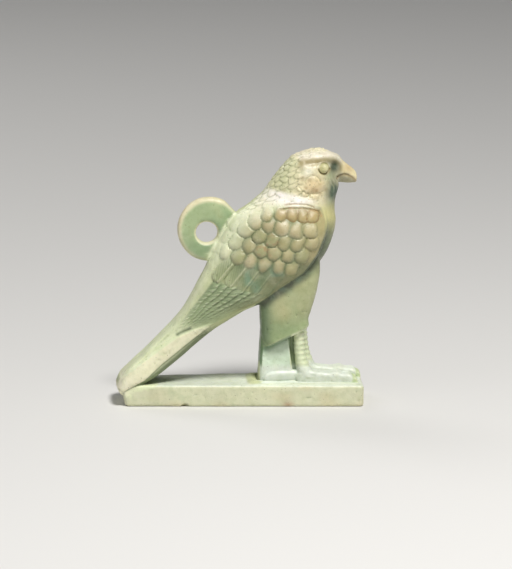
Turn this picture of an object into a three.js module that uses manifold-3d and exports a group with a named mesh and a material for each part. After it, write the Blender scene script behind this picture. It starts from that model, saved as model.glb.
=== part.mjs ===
// A falcon amulet in glazed composition: one moulded body with its plinth, pillar and suspension loop.
// Millimetres, +Z up, the falcon faces +X, and the origin is the middle of the plinth's underside.

import * as THREE from "three";
import { mergeVertices } from "three/addons/utils/BufferGeometryUtils.js";
import Module from "manifold-3d";

const wasm = await Module();
wasm.setup();

// Driving dimensions
const TOTAL_HEIGHT = 48;
const PLINTH_HEIGHT = 4;
const PLINTH_LENGTH = 45.15;
const PLINTH_FRONT_X = 22.97;
const PLINTH_BACK_WIDTH = 9.5;
const PLINTH_FRONT_WIDTH = 14.2;
const PLINTH_EDGE_ROUND = 0.35;
const PLINTH_END_SLANT = 0.8;
const CHIP_LENGTH = 1.6;
const CHIP_DEPTH = 0.65;
const CHIP_FROM_FRONT = 32.9;
const LOOP_DIAMETER = 12;
const LOOP_BORE = 4;
const LOOP_BORE_OFFSET = 0.8;
const LOOP_THICKNESS = 2.7;
const LOOP_EDGE_ROUND = 0.5;
const LOOP_ARC_START = 62;
const LOOP_ARC_END = 272;
const PILLAR_WIDTH = 6.4;
const PILLAR_BASE_LENGTH = 6.75;
const PILLAR_HEIGHT = 11;
const PILLAR_REAR_LEAN = 0.7;
const PILLAR_FRONT_LEAN = 1.5;
const PILLAR_CORNER = 0.5;
const PILLAR_GROOVE = 0.85;
const PILLAR_GROOVE_DEPTH = 1.2;
const SOLE_HEIGHT = 0.5;
const SOLE_SLOPE = 0.8;
const SOLE_MARGIN = 0.7;
const LEG_SPACING = 5.2;
const LEG_THICKNESS = 1.9;
const LEG_SIDEWAYS_SHARE = 1.25;
const FAR_LEG_ADVANCE = 0.95;

// The figure's own forms are in hundredths of its height above the plinth
const FIGURE_HEIGHT = TOTAL_HEIGHT - PLINTH_HEIGHT;
const UNIT = FIGURE_HEIGHT / 100;
const FIGURE_X = 0.22;
const LOOP_MIDDLE = [-12.9, 65.2];
const SINK = 0.6;
const SIDES = [-1, 1];

const glaze = new THREE.MeshStandardMaterial({ name: "glaze", color: 0xc6cda6, roughness: 0.45, metalness: 0 });

// Torso, neck and tail: back point, front point, half width, boxiness, from the crown to the tail's tip
const BODY_SECTIONS = [
  [31.6, 100.0, 35.5, 100.0, 1.6, 2.0],
  [26.3, 98.6, 39.0, 98.0, 5.0, 2.1],
  [22.2, 96.6, 41.8, 95.5, 7.5, 2.2],
  [18.9, 93.2, 42.0, 92.3, 9.4, 2.2],
  [16.0, 89.8, 41.6, 88.6, 10.2, 2.1],
  [13.4, 86.5, 41.0, 84.5, 10.5, 2.0],
  [10.3, 82.2, 40.6, 80.0, 10.8, 2.0],
  [7.3, 79.1, 40.2, 75.9, 11.6, 2.1],
  [3.2, 75.7, 40.2, 72.5, 12.6, 2.2],
  [-1.4, 72.5, 40.5, 68.6, 13.4, 2.3],
  [-5.4, 67.9, 39.7, 63.4, 13.9, 2.3],
  [-8.1, 62.9, 36.7, 55.4, 14.0, 2.3],
  [-10.7, 58.4, 30.9, 47.5, 13.8, 2.3],
  [-12.7, 54.3, 23.2, 40.5, 13.4, 2.3],
  [-14.7, 49.2, 13.7, 35.2, 12.9, 2.4],
  [-17.8, 42.9, 3.7, 31.3, 12.3, 2.6],
  [-21.7, 35.3, -5.1, 26.4, 11.7, 2.8],
  [-27.0, 27.4, -13.9, 20.6, 11.3, 3.0],
  [-40.2, 13.6, -30.5, 6.8, 11.2, 3.2],
  [-46.7, 7.5, -38.3, 1.2, 11.5, 3.2],
  [-50.5, 3.2, -44.3, -1.3, 11.5, 3.0],
  [-52.7, -1.6, -50.1, -4.9, 10.9, 2.6],
];
const BODY_RINGS = 27;
const BACK_POINTS = 6;
const FRONT_POINTS = 5;

// The wing stands proud of the breast and thigh along this edge, from the shoulder to the tail
const WING_EDGE = [
  [28.0, 78.0],
  [33.9, 75.8],
  [35.6, 70.2],
  [35.2, 64.6],
  [31.8, 56.0],
  [26.1, 48.2],
  [16.4, 41.6],
  [8.1, 35.7],
  [-2.1, 31.3],
  [-14.0, 25.3],
];
const WING_STEP = 1.5;
const WING_FULLNESS = 0.9;

const THIGH_BOXINESS = 2.4;
const THIGH_SIDES = 12;

// Thigh: rear point, front point and half width, from its slanting lower rim up into the body
const THIGH_SECTIONS = [
  [11.3, 15.9, 28.0, 25.2, 4.7],
  [10.2, 16.8, 28.9, 26.0, 5.5],
  [9.2, 19.0, 28.8, 27.4, 5.3],
  [8.6, 23.9, 29.7, 30.4, 5.5],
  [8.4, 30.7, 31.1, 35.0, 5.8],
  [7.5, 37.5, 32.6, 40.8, 5.9],
  [8.0, 44.6, 33.7, 47.6, 5.6],
  [10.0, 52.0, 33.4, 54.6, 4.4],
];

// Lower leg: middle line and thickness share, from the thigh to the ankle
const LEG_LINE = [
  [24.5, 27.0, 1.0],
  [24.6, 20.0, 1.0],
  [25.2, 12.6, 1.05],
  [26.3, 8.3, 1.2],
  [27.6, 4.0, 1.7],
];
const LEG_RIDGE_PITCH = 1.05;
const LEG_RIDGE_HEIGHT = 0.14;
const LEG_SIDES = 6;

// Toes: middle line, height above the plinth and radius, from the ankle to the claw
const TOE_LINE = [
  [26.5, 4.0, 2.0],
  [32.0, 3.2, 1.7],
  [40.0, 2.9, 1.75],
  [45.0, 2.2, 1.6],
  [47.4, 1.8, 1.4],
  [49.4, 0.9, 0.8],
];
const TOE_SPREAD = [-3.4, 0, 3.4];
const TOE_ROOT_SHARE = 0.5;
const TOE_SIDES = 6;
const HIND_TOE_ASIDE = 1.2;
const HIND_TOE_LINE = [
  [27.0, 3.8, 1.7],
  [20.0, 3.7, 1.7],
  [13.0, 3.7, 1.8],
  [10.0, 3.0, 1.5],
];

// Rows of round scales on the wing: first, middle and last place, count, width and length
const SCALE_ROWS = [
  [11.9, 74.6, 22.1, 73.3, 31.6, 72.2, 5, 5.0, 5.2],
  [6.8, 71.5, 18.7, 68.3, 30.6, 67.0, 5, 5.2, 5.4],
  [2.1, 66.8, 16.1, 62.4, 30.1, 61.2, 6, 5.2, 5.4],
  [-1.7, 62.2, 12.1, 57.1, 27.6, 55.6, 6, 5.2, 5.4],
  [-5.1, 57.7, 7.6, 53.0, 22.6, 50.4, 6, 5.2, 5.4],
  [-8.6, 53.2, 3.6, 47.8, 16.4, 45.6, 5, 5.0, 5.4],
];
const SCALE_RISE = 1.15;
const SCALE_TILT = 0.22;
const SCALE_SLOPE = 0.7;
const SCALE_SIDES = 6;

// Rows of small scales from the back of the head down the nape
const NAPE_ROWS = [
  [21.6, 93.6, 20.4, 91.0, 20.6, 88.0, 2, 4.0, 4.4],
  [17.2, 88.6, 16.8, 86.0, 17.6, 83.2, 2, 4.4, 4.8],
  [12.2, 82.8, 12.8, 80.6, 14.4, 78.4, 2, 4.6, 5.0],
];
const NAPE_RISE = 0.7;
const NAPE_SLOPE = 0.9;
const NAPE_SIDES = 5;

// Long feathers: start and end of the first and of the last, count, width and rise
const COVERTS = { first: [-9.0, 51.5, -14.5, 44.2], last: [12.5, 42.2, 0.5, 37.6], count: 5, width: 4.2, rise: 1.1 };
const PRIMARIES = { first: [-14.8, 43.2, -27.5, 25.0], last: [4.0, 34.9, -13.0, 26.8], count: 6, width: 2.5, rise: 1.0 };
const TAIL_FEATHERS = { first: [-25.5, 29.8, -49.2, 4.6], last: [-27.0, 24.4, -49.4, 3.2], count: 2, width: 2.2, rise: 0.7 };

// The flat outermost feather along the side of the tail
const TAIL_STRIP = [
  [-11.5, 26.6],
  [-20.6, 19.7],
  [-33.9, 8.9],
  [-40.7, 2.4],
  [-50.0, -2.6],
  [-50.6, 2.0],
  [-45.4, 8.0],
  [-33.1, 17.5],
  [-21.2, 24.4],
];
const TAIL_STRIP_RISE = 0.5;
const TAIL_STRIP_DEPTH = 2.4;
const TAIL_STRIP_SPOT = [-36, 12];

// Head
const BEAK_SECTIONS = [
  [37.0, 84.0, 37.0, 97.4, 7.6],
  [41.0, 84.8, 41.0, 96.8, 5.4],
  [43.4, 85.1, 43.4, 94.8, 4.0],
  [45.6, 85.0, 45.6, 92.9, 2.9],
  [47.7, 85.0, 47.7, 91.3, 1.9],
  [49.0, 85.1, 49.2, 89.4, 1.0],
  [49.5, 85.4, 49.6, 87.4, 0.5],
];
const BEAK_BOXINESS = 2.1;
const BEAK_SIDES = 10;
const EYE = { x: 35.5, z: 92.9, radius: 1.9, depth: 0.9 };
const CHEEK = { x: 31.0, z: 86.6, radius: 3.1, depth: 0.35 };
const BROW_SIDES = 6;
const BROW = { first: [25.5, 95.4], last: [41.0, 94.6], arch: 1.2, width: 2.2, rise: 1.0 };

function place(x, z, y = 0) {
  return new THREE.Vector3(FIGURE_X + x * UNIT, y, PLINTH_HEIGHT + z * UNIT);
}

function toSolid(geometry) {
  geometry.deleteAttribute("normal");
  geometry.deleteAttribute("uv");
  const merged = mergeVertices(geometry, 1e-4);
  const mesh = new wasm.Mesh({
    numProp: 3,
    vertProperties: new Float32Array(merged.attributes.position.array),
    triVerts: new Uint32Array(merged.index.array),
  });
  return new wasm.Manifold(mesh);
}

function toGeometry(solid) {
  const mesh = solid.getMesh();
  const geometry = new THREE.BufferGeometry();
  geometry.setAttribute("position", new THREE.BufferAttribute(mesh.vertProperties, 3));
  geometry.setIndex(new THREE.BufferAttribute(mesh.triVerts, 1));
  geometry.computeVertexNormals();
  return geometry;
}

function centreOf(ring) {
  const centre = new THREE.Vector3();
  for (const point of ring) centre.add(point);
  return centre.divideScalar(ring.length);
}

// A closed skin through rings of equal count, with a fan over each end
function loft(rings) {
  const count = rings[0].length;
  const points = [...rings.flat(), centreOf(rings[0]), centreOf(rings[rings.length - 1])];
  const faces = [];
  for (let r = 0; r + 1 < rings.length; r++) {
    for (let i = 0; i < count; i++) {
      const a = r * count + i;
      const b = r * count + ((i + 1) % count);
      faces.push(a, b, b + count, a, b + count, a + count);
    }
  }
  const last = (rings.length - 1) * count;
  for (let i = 0; i < count; i++) {
    const next = (i + 1) % count;
    faces.push(points.length - 2, next, i);
    faces.push(points.length - 1, last + i, last + next);
  }
  const geometry = new THREE.BufferGeometry().setFromPoints(points);
  geometry.setIndex(faces);
  if (signedVolume(geometry) < 0) geometry.setIndex(faces.reverse());
  return geometry;
}

function signedVolume(geometry) {
  const spots = geometry.attributes.position;
  const index = geometry.index.array;
  const corner = [new THREE.Vector3(), new THREE.Vector3(), new THREE.Vector3()];
  let volume = 0;
  for (let i = 0; i < index.length; i += 3) {
    corner.forEach((point, k) => point.fromBufferAttribute(spots, index[i + k]));
    volume += corner[0].dot(corner[1].cross(corner[2])) / 6;
  }
  return volume;
}

// Rows of numbers made smooth: the same columns, at even steps along the list
function smoothRows(rows, count) {
  const result = [];
  for (let k = 0; k < count; k++) {
    const at = (k / (count - 1)) * (rows.length - 1);
    const i = Math.min(Math.floor(at), rows.length - 2);
    const t = at - i;
    const before = rows[Math.max(i - 1, 0)];
    const after = rows[Math.min(i + 2, rows.length - 1)];
    result.push(rows[i].map((a, c) => catmullRom(before[c], a, rows[i + 1][c], after[c], t)));
  }
  return result;
}

function catmullRom(p0, p1, p2, p3, t) {
  const bend = 2 * p0 - 5 * p1 + 4 * p2 - p3;
  const twist = 3 * p1 - p0 - 3 * p2 + p3;
  return p1 + 0.5 * t * (p2 - p0 + t * (bend + t * twist));
}

function rounded(value, boxiness) {
  return Math.sign(value) * Math.abs(value) ** (2 / boxiness);
}

// Where the wing's edge crosses a section, as a share from its back to its front
function edgeShare(back, front) {
  for (let i = 0; i + 1 < WING_EDGE.length; i++) {
    const [ax, az] = WING_EDGE[i];
    const [bx, bz] = WING_EDGE[i + 1];
    const dx = front[0] - back[0];
    const dz = front[1] - back[1];
    const cross = dx * (bz - az) - dz * (bx - ax);
    const along = ((ax - back[0]) * (bz - az) - (az - back[1]) * (bx - ax)) / cross;
    const share = ((ax - back[0]) * dz - (az - back[1]) * dx) / cross;
    if (share >= 0 && share < 1 && along > 0 && along < 1) return { along, reach: (i + share) / (WING_EDGE.length - 1) };
  }
  return null;
}

// Half a section's angles, closer together on both sides of the wing's edge
function sectionAngles(edgeAngle) {
  const angles = [];
  for (let i = 0; i < BACK_POINTS; i++) angles.push((edgeAngle * i) / (BACK_POINTS - 1));
  const start = edgeAngle + 0.06;
  for (let i = 0; i < FRONT_POINTS; i++) angles.push(start + ((Math.PI - start) * i) / (FRONT_POINTS - 1));
  return angles;
}

function bodyRing([backX, backZ, frontX, frontZ, halfWidth, boxiness]) {
  const edge = edgeShare([backX, backZ], [frontX, frontZ]);
  const edgeAngle = edge ? Math.acos(1 - 2 * edge.along) : Math.PI * 0.6;
  const fade = edge ? Math.min(1, 8 * edge.reach, 5 * (1 - edge.reach)) : 0;
  const edgeOut = rounded(Math.sin(edgeAngle), boxiness);
  const gap = Math.max(0, WING_FULLNESS - edgeOut) * halfWidth * UNIT;
  const half = sectionAngles(edgeAngle).map((angle, i) => {
    const along = (1 - rounded(Math.cos(angle), boxiness)) / 2;
    const out = halfWidth * UNIT * rounded(Math.sin(angle), boxiness);
    const share = angle / edgeAngle;
    const lift = WING_STEP * UNIT * Math.min(1, 1.6 * share) ** 2 + gap * share ** 3;
    const wing = i < BACK_POINTS ? fade * lift : 0;
    return { along, out: out + wing };
  });
  const point = (part, side) =>
    place(
      backX + (frontX - backX) * part.along,
      backZ + (frontZ - backZ) * part.along,
      side * part.out,
    );
  const near = half.map((part) => point(part, -1));
  const far = half.slice(1, -1).reverse().map((part) => point(part, 1));
  return [...near, ...far];
}

function body() {
  return loft(smoothRows(BODY_SECTIONS, BODY_RINGS).map(bodyRing));
}

// A ring in a slanting plane about a middle line that stands off to one side
function slantRing([backX, backZ, frontX, frontZ, halfWidth], middle, boxiness, count) {
  const ring = [];
  for (let i = 0; i < count; i++) {
    const angle = (2 * Math.PI * i) / count;
    const along = (1 - rounded(Math.cos(angle), boxiness)) / 2;
    const out = middle + halfWidth * UNIT * rounded(Math.sin(angle), boxiness);
    ring.push(place(backX + (frontX - backX) * along, backZ + (frontZ - backZ) * along, out));
  }
  return ring;
}

function thigh(side) {
  const middle = (side * LEG_SPACING) / 2;
  return loft(THIGH_SECTIONS.map((section) => slantRing(section, middle, THIGH_BOXINESS, THIGH_SIDES)));
}

function advance(side) {
  return side > 0 ? FAR_LEG_ADVANCE : 0;
}

// The lower leg with its ridges, as rings that swell and shrink in turn
function lowerLeg(side) {
  const topZ = LEG_LINE[0][1];
  const footZ = LEG_LINE[LEG_LINE.length - 1][1];
  const count = 2 * Math.round((topZ - footZ) / LEG_RIDGE_PITCH / 2) + 1;
  const middle = (side * LEG_SPACING) / 2;
  return loft(
    smoothRows(LEG_LINE, count).map(([x, z, share], k) => {
      const ridge = k % 2 && z > 6 ? LEG_RIDGE_HEIGHT : 0;
      const radius = (LEG_THICKNESS / 2) * share + ridge;
      const ring = [];
      for (let i = 0; i < LEG_SIDES; i++) {
        const angle = (2 * Math.PI * i) / LEG_SIDES;
        const point = place(x, z, middle + LEG_SIDEWAYS_SHARE * radius * Math.sin(angle));
        point.x += advance(side) + radius * Math.cos(angle);
        ring.push(point);
      }
      return ring;
    }),
  );
}

// A toe lies on the plinth: rings across its line, flat below
function toe(line, side, startAside, endAside) {
  return loft(
    smoothRows(line, line.length).map(([x, z, radius], k, rows) => {
      const aside = startAside + ((endAside - startAside) * k) / (rows.length - 1);
      const middle = (side * LEG_SPACING) / 2 + aside * UNIT;
      const ring = [];
      for (let i = 0; i < TOE_SIDES; i++) {
        const angle = (2 * Math.PI * i) / TOE_SIDES;
        const point = place(x, z, middle + radius * UNIT * Math.sin(angle));
        point.z += radius * UNIT * Math.cos(angle);
        point.z = Math.cos(angle) < -0.5 ? PLINTH_HEIGHT - SINK : point.z;
        point.x += advance(side);
        ring.push(point);
      }
      return ring;
    }),
  );
}

function foot(side) {
  const toes = TOE_SPREAD.map((aside) => toe(TOE_LINE, side, aside * TOE_ROOT_SHARE, aside));
  return [...toes, toe(HIND_TOE_LINE, side, 0, side * HIND_TOE_ASIDE)];
}

// The plinth narrows towards the tail, and its back end slants in below
function plinth() {
  const backX = PLINTH_FRONT_X - PLINTH_LENGTH;
  const round = PLINTH_EDGE_ROUND;
  const plan = new THREE.Shape([
    new THREE.Vector2(backX + round, -PLINTH_BACK_WIDTH / 2 + round),
    new THREE.Vector2(PLINTH_FRONT_X - round, -PLINTH_FRONT_WIDTH / 2 + round),
    new THREE.Vector2(PLINTH_FRONT_X - round, PLINTH_FRONT_WIDTH / 2 - round),
    new THREE.Vector2(backX + round, PLINTH_BACK_WIDTH / 2 - round),
  ]);
  const slab = new THREE.ExtrudeGeometry(plan, {
    depth: PLINTH_HEIGHT - 2 * round,
    bevelSize: round,
    bevelThickness: round,
    bevelSegments: 2,
  });
  slab.translate(0, 0, round);
  const spots = slab.attributes.position;
  for (let i = 0; i < spots.count; i++) {
    const atBack = spots.getX(i) < (backX + PLINTH_FRONT_X) / 2;
    const below = 1 - spots.getZ(i) / PLINTH_HEIGHT;
    if (atBack) spots.setX(i, spots.getX(i) + PLINTH_END_SLANT * below);
  }
  return slab;
}

function chip() {
  const hollow = new THREE.SphereGeometry(1, 7, 5);
  hollow.scale(CHIP_LENGTH / 2, CHIP_DEPTH * 1.4, CHIP_DEPTH);
  const x = PLINTH_FRONT_X - CHIP_FROM_FRONT;
  const halfWidth = THREE.MathUtils.mapLinear(
    x,
    PLINTH_FRONT_X - PLINTH_LENGTH,
    PLINTH_FRONT_X,
    PLINTH_BACK_WIDTH / 2,
    PLINTH_FRONT_WIDTH / 2,
  );
  return hollow.translate(x, -halfWidth, 0);
}

// An upright block that stands in the plinth, narrower at its top and with its rear corners cut off
function uprightBlock(backX, frontX, width, rearLean, frontLean) {
  const half = width / 2;
  const corner = PILLAR_CORNER;
  const ring = (back, front, z) => [
    new THREE.Vector3(back, -half + corner, z),
    new THREE.Vector3(back + corner, -half, z),
    new THREE.Vector3(front, -half, z),
    new THREE.Vector3(front, half, z),
    new THREE.Vector3(back + corner, half, z),
    new THREE.Vector3(back, half - corner, z),
  ];
  return loft([
    ring(backX, frontX, PLINTH_HEIGHT - SINK),
    ring(backX + rearLean, frontX - frontLean, PLINTH_HEIGHT + PILLAR_HEIGHT),
  ]);
}

// The support pillar behind the lower legs, and the narrower web that joins it to them in the groove
function pillar() {
  const legX = place(LEG_LINE[2][0], 0).x;
  const frontX = legX - LEG_THICKNESS / 2 - PILLAR_GROOVE + PILLAR_FRONT_LEAN / 2;
  const backX = frontX - PILLAR_BASE_LENGTH;
  const webX = frontX - PILLAR_FRONT_LEAN - PILLAR_GROOVE;
  return [
    uprightBlock(backX, frontX, PILLAR_WIDTH, PILLAR_REAR_LEAN, PILLAR_FRONT_LEAN),
    uprightBlock(webX, legX + FAR_LEG_ADVANCE, PILLAR_WIDTH - 2 * PILLAR_GROOVE_DEPTH, 0, FAR_LEG_ADVANCE),
    sole(backX - SOLE_MARGIN, place(TOE_LINE[2][0], 0).x),
  ];
}

// The plinth's top swells a little under the pillar and the feet
function sole(backX, frontX) {
  const half = PILLAR_WIDTH / 2 + SOLE_MARGIN;
  const ring = (grow, z) => [
    new THREE.Vector3(backX - grow, -half - grow, z),
    new THREE.Vector3(frontX + grow, -half - grow, z),
    new THREE.Vector3(frontX + grow, half + grow, z),
    new THREE.Vector3(backX - grow, half + grow, z),
  ];
  return loft([ring(SOLE_SLOPE, PLINTH_HEIGHT - SINK / 2), ring(0, PLINTH_HEIGHT + SOLE_HEIGHT)]);
}

// The flat loop on the back: a round disc that runs straight into the shoulders, with a round bore
function loop() {
  const radius = LOOP_DIAMETER / 2 - LOOP_EDGE_ROUND;
  const shape = new THREE.Shape();
  const { degToRad } = THREE.MathUtils;
  shape.absarc(0, 0, radius, degToRad(LOOP_ARC_START), degToRad(LOOP_ARC_END), false);
  shape.lineTo(0.9 * radius, -radius);
  shape.lineTo(1.25 * radius, 0.1 * radius);
  const hole = new THREE.Path();
  const shift = -LOOP_BORE_OFFSET / Math.SQRT2;
  hole.absarc(shift, shift, LOOP_BORE / 2 + LOOP_EDGE_ROUND, 0, 2 * Math.PI, true);
  shape.holes.push(hole);
  const ring = new THREE.ExtrudeGeometry(shape, {
    depth: LOOP_THICKNESS - 2 * LOOP_EDGE_ROUND,
    bevelSize: LOOP_EDGE_ROUND,
    bevelThickness: LOOP_EDGE_ROUND,
    bevelSegments: 1,
    curveSegments: 11,
  });
  ring.translate(0, 0, LOOP_EDGE_ROUND - LOOP_THICKNESS / 2);
  ring.rotateX(Math.PI / 2);
  const middle = place(...LOOP_MIDDLE);
  return ring.translate(middle.x, middle.y, middle.z);
}

const bodyMesh = new THREE.Mesh(body(), new THREE.MeshBasicMaterial({ side: THREE.DoubleSide }));
const ray = new THREE.Raycaster();

// The body's skin at a place in the side view, with its normal
function skin(x, z, side) {
  const start = place(x, z, side * TOTAL_HEIGHT);
  ray.set(start, new THREE.Vector3(0, -side, 0));
  const hit = ray.intersectObject(bodyMesh)[0];
  if (!hit) return null;
  const normal = hit.face.normal.clone();
  if (normal.y * side < 0) normal.negate();
  return { point: hit.point, normal };
}

// A round scale lies on the skin, and its lower end stands out over the next row
function scale(x, z, width, length, rise, slope, sides, side) {
  const spot = skin(x, z, side);
  if (!spot) return null;
  const profile = [
    new THREE.Vector2(0, -1),
    new THREE.Vector2(1, 0),
    new THREE.Vector2(0.72, 0.85),
    new THREE.Vector2(0, 1),
  ];
  const dome = new THREE.LatheGeometry(profile, sides);
  dome.rotateX(Math.PI / 2);
  dome.scale((width * UNIT) / 2, (length * UNIT) / 2, rise * UNIT);
  dome.rotateX(SCALE_TILT);
  const down = new THREE.Vector3(-Math.sin(slope), 0, -Math.cos(slope));
  const up = down.clone().negate();
  const normal = spot.normal;
  up.addScaledVector(normal, -up.dot(normal)).normalize();
  const across = new THREE.Vector3().crossVectors(up, normal);
  const turn = new THREE.Matrix4().makeBasis(across, up, normal);
  turn.setPosition(spot.point);
  return dome.applyMatrix4(turn);
}

// Scales along a bowed row
function scaleRow([ax, az, mx, mz, bx, bz, count, width, length], rise, slope, sides, side) {
  const row = new THREE.QuadraticBezierCurve(
    new THREE.Vector2(ax, az),
    new THREE.Vector2(2 * mx - (ax + bx) / 2, 2 * mz - (az + bz) / 2),
    new THREE.Vector2(bx, bz),
  );
  const scales = [];
  for (let i = 0; i < count; i++) {
    const spot = row.getPoint(i / (count - 1));
    scales.push(scale(spot.x, spot.y, width, length, rise, slope, sides, side));
  }
  return scales.filter((item) => item);
}

// A long feather follows the skin from its root to its tip
function longFeather(startX, startZ, endX, endZ, width, rise, side) {
  const stations = 3;
  const rings = [];
  for (let k = 0; k < stations; k++) {
    const t = k / (stations - 1);
    const spot = skin(startX + (endX - startX) * t, startZ + (endZ - startZ) * t, side);
    if (!spot) continue;
    const along = place(endX, endZ).sub(place(startX, startZ)).normalize();
    along.addScaledVector(spot.normal, -along.dot(spot.normal)).normalize();
    const across = new THREE.Vector3().crossVectors(spot.normal, along);
    const half = (width * UNIT * (k === stations - 1 ? 0.55 : 1)) / 2;
    const outline = [
      [-half, -SINK],
      [half, -SINK],
      [0, rise * UNIT],
    ];
    rings.push(
      outline.map(([u, v]) => spot.point.clone().addScaledVector(across, u).addScaledVector(spot.normal, v)),
    );
  }
  return rings.length > 1 ? loft(rings) : null;
}

function featherFan({ first, last, count, width, rise }, side) {
  const feathers = [];
  for (let i = 0; i < count; i++) {
    const share = i / (count - 1);
    const ends = first.map((value, k) => value + (last[k] - value) * share);
    feathers.push(longFeather(...ends, width, rise, side));
  }
  return feathers.filter((item) => item);
}

// The flat strip lies a little proud of the tail's side
function tailStrip(side) {
  const outline = TAIL_STRIP.map(([x, z]) => {
    const spot = place(x, z);
    return new THREE.Vector2(spot.x, spot.z);
  });
  const depth = TAIL_STRIP_DEPTH * UNIT;
  const strip = new THREE.ExtrudeGeometry(new THREE.Shape(outline), { depth, bevelEnabled: false });
  strip.rotateX(Math.PI / 2);
  const outer = skin(...TAIL_STRIP_SPOT, side).point.y + side * TAIL_STRIP_RISE * UNIT;
  return strip.translate(0, side > 0 ? outer : outer + depth, 0);
}

function beak() {
  return loft(BEAK_SECTIONS.map((section) => slantRing(section, 0, BEAK_BOXINESS, BEAK_SIDES)));
}

function bead({ x, z, radius, depth }, side) {
  const ball = new THREE.SphereGeometry(radius * UNIT, 8, 5);
  ball.scale(1, depth, 1);
  const spot = skin(x, z, side);
  return ball.translate(spot.point.x, spot.point.y, spot.point.z);
}

// The ridge over the eye arches from the temple to the root of the beak
function brow(side) {
  const stations = 5;
  const rings = [];
  for (let k = 0; k < stations; k++) {
    const t = k / (stations - 1);
    const x = BROW.first[0] + (BROW.last[0] - BROW.first[0]) * t;
    const z = BROW.first[1] + (BROW.last[1] - BROW.first[1]) * t + BROW.arch * Math.sin(Math.PI * t);
    const spot = skin(x, z - BROW.width / 2, side) ?? skin(x, z - BROW.width, side);
    if (!spot) continue;
    const swell = 0.45 + 0.55 * Math.sin(Math.PI * (0.15 + 0.75 * t));
    const ring = [];
    for (let i = 0; i < BROW_SIDES; i++) {
      const angle = (2 * Math.PI * i) / BROW_SIDES;
      const point = spot.point.clone();
      point.z += (BROW.width / 2) * UNIT * swell * Math.sin(angle);
      point.y += side * BROW.rise * UNIT * swell * Math.cos(angle);
      ring.push(point);
    }
    rings.push(ring);
  }
  return loft(rings);
}

function sideParts(side) {
  return [
    thigh(side),
    lowerLeg(side),
    ...foot(side),
    ...SCALE_ROWS.flatMap((row) => scaleRow(row, SCALE_RISE, SCALE_SLOPE, SCALE_SIDES, side)),
    ...NAPE_ROWS.flatMap((row) => scaleRow(row, NAPE_RISE, NAPE_SLOPE, NAPE_SIDES, side)),
    ...featherFan(COVERTS, side),
    ...featherFan(PRIMARIES, side),
    ...featherFan(TAIL_FEATHERS, side),
    tailStrip(side),
    bead(EYE, side),
    bead(CHEEK, side),
    brow(side),
  ];
}

const parts = [body(), plinth(), ...pillar(), loop(), beak(), ...SIDES.flatMap(sideParts)];
const joined = wasm.Manifold.union(parts.map(toSolid));
const amulet = joined.subtract(toSolid(chip()));

const falcon = new THREE.Mesh(toGeometry(amulet), glaze);
falcon.name = "falcon_amulet";

const part = new THREE.Group();
part.add(falcon);

export default part;
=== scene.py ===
import math

import bpy
import numpy as np
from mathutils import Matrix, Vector


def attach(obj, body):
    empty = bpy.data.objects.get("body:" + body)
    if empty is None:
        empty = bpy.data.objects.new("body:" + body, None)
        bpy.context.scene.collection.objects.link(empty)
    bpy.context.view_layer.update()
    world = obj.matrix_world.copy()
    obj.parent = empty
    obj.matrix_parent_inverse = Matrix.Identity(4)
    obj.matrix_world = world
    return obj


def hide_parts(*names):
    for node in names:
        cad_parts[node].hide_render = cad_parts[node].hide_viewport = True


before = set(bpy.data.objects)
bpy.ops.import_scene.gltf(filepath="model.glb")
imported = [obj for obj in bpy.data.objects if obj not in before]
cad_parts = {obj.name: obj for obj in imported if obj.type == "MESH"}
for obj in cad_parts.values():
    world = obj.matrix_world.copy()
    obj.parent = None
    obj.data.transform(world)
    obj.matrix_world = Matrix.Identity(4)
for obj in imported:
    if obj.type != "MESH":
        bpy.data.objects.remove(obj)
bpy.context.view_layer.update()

# A falcon amulet in glazed composition, finished as a worn, finely carved surface.
# Lengths here are millimetres until the mesh is handed to Blender in metres.
# The figure's forms are in hundredths of its height above the plinth, x forward and z up.

MILLIMETRE = 0.001
TOTAL_HEIGHT = 48.0
PLINTH_HEIGHT = 4.0
PLINTH_LENGTH = 45.15
PLINTH_FRONT_X = 22.97
PLINTH_BACK_WIDTH = 9.5
PLINTH_FRONT_WIDTH = 14.2
PLINTH_END_SLANT = 0.8
PLINTH_ROUND = 0.5
LOOP_DIAMETER = 12.0
LOOP_BORE = 4.0
LOOP_BORE_OFFSET = 0.8
LOOP_THICKNESS = 2.7
LOOP_EDGE_ROUND = 0.62
LOOP_MIDDLE = (-12.9, 65.2)
LOOP_ARC_START = 62.0
LOOP_ARC_END = 272.0
PILLAR_WIDTH = 6.4
PILLAR_BASE_LENGTH = 6.75
PILLAR_HEIGHT = 11.0
PILLAR_REAR_LEAN = 0.7
PILLAR_FRONT_LEAN = 1.5
PILLAR_CORNER = 0.5
PILLAR_GROOVE = 0.85
PILLAR_GROOVE_DEPTH = 1.2
SOLE_HEIGHT = 0.5
SOLE_SLOPE = 0.8
SOLE_MARGIN = 0.7
LEG_SPACING = 5.2
LEG_THICKNESS = 1.9
LEG_SIDEWAYS_SHARE = 1.25
FAR_LEG_ADVANCE = 0.95
FIGURE_X = 0.22
UNIT = (TOTAL_HEIGHT - PLINTH_HEIGHT) / 100
SINK = 0.6
SIDES = (-1, 1)

VOXEL = 0.15
TRIANGLE_LIMIT = 192000
SEED = 7

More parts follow.
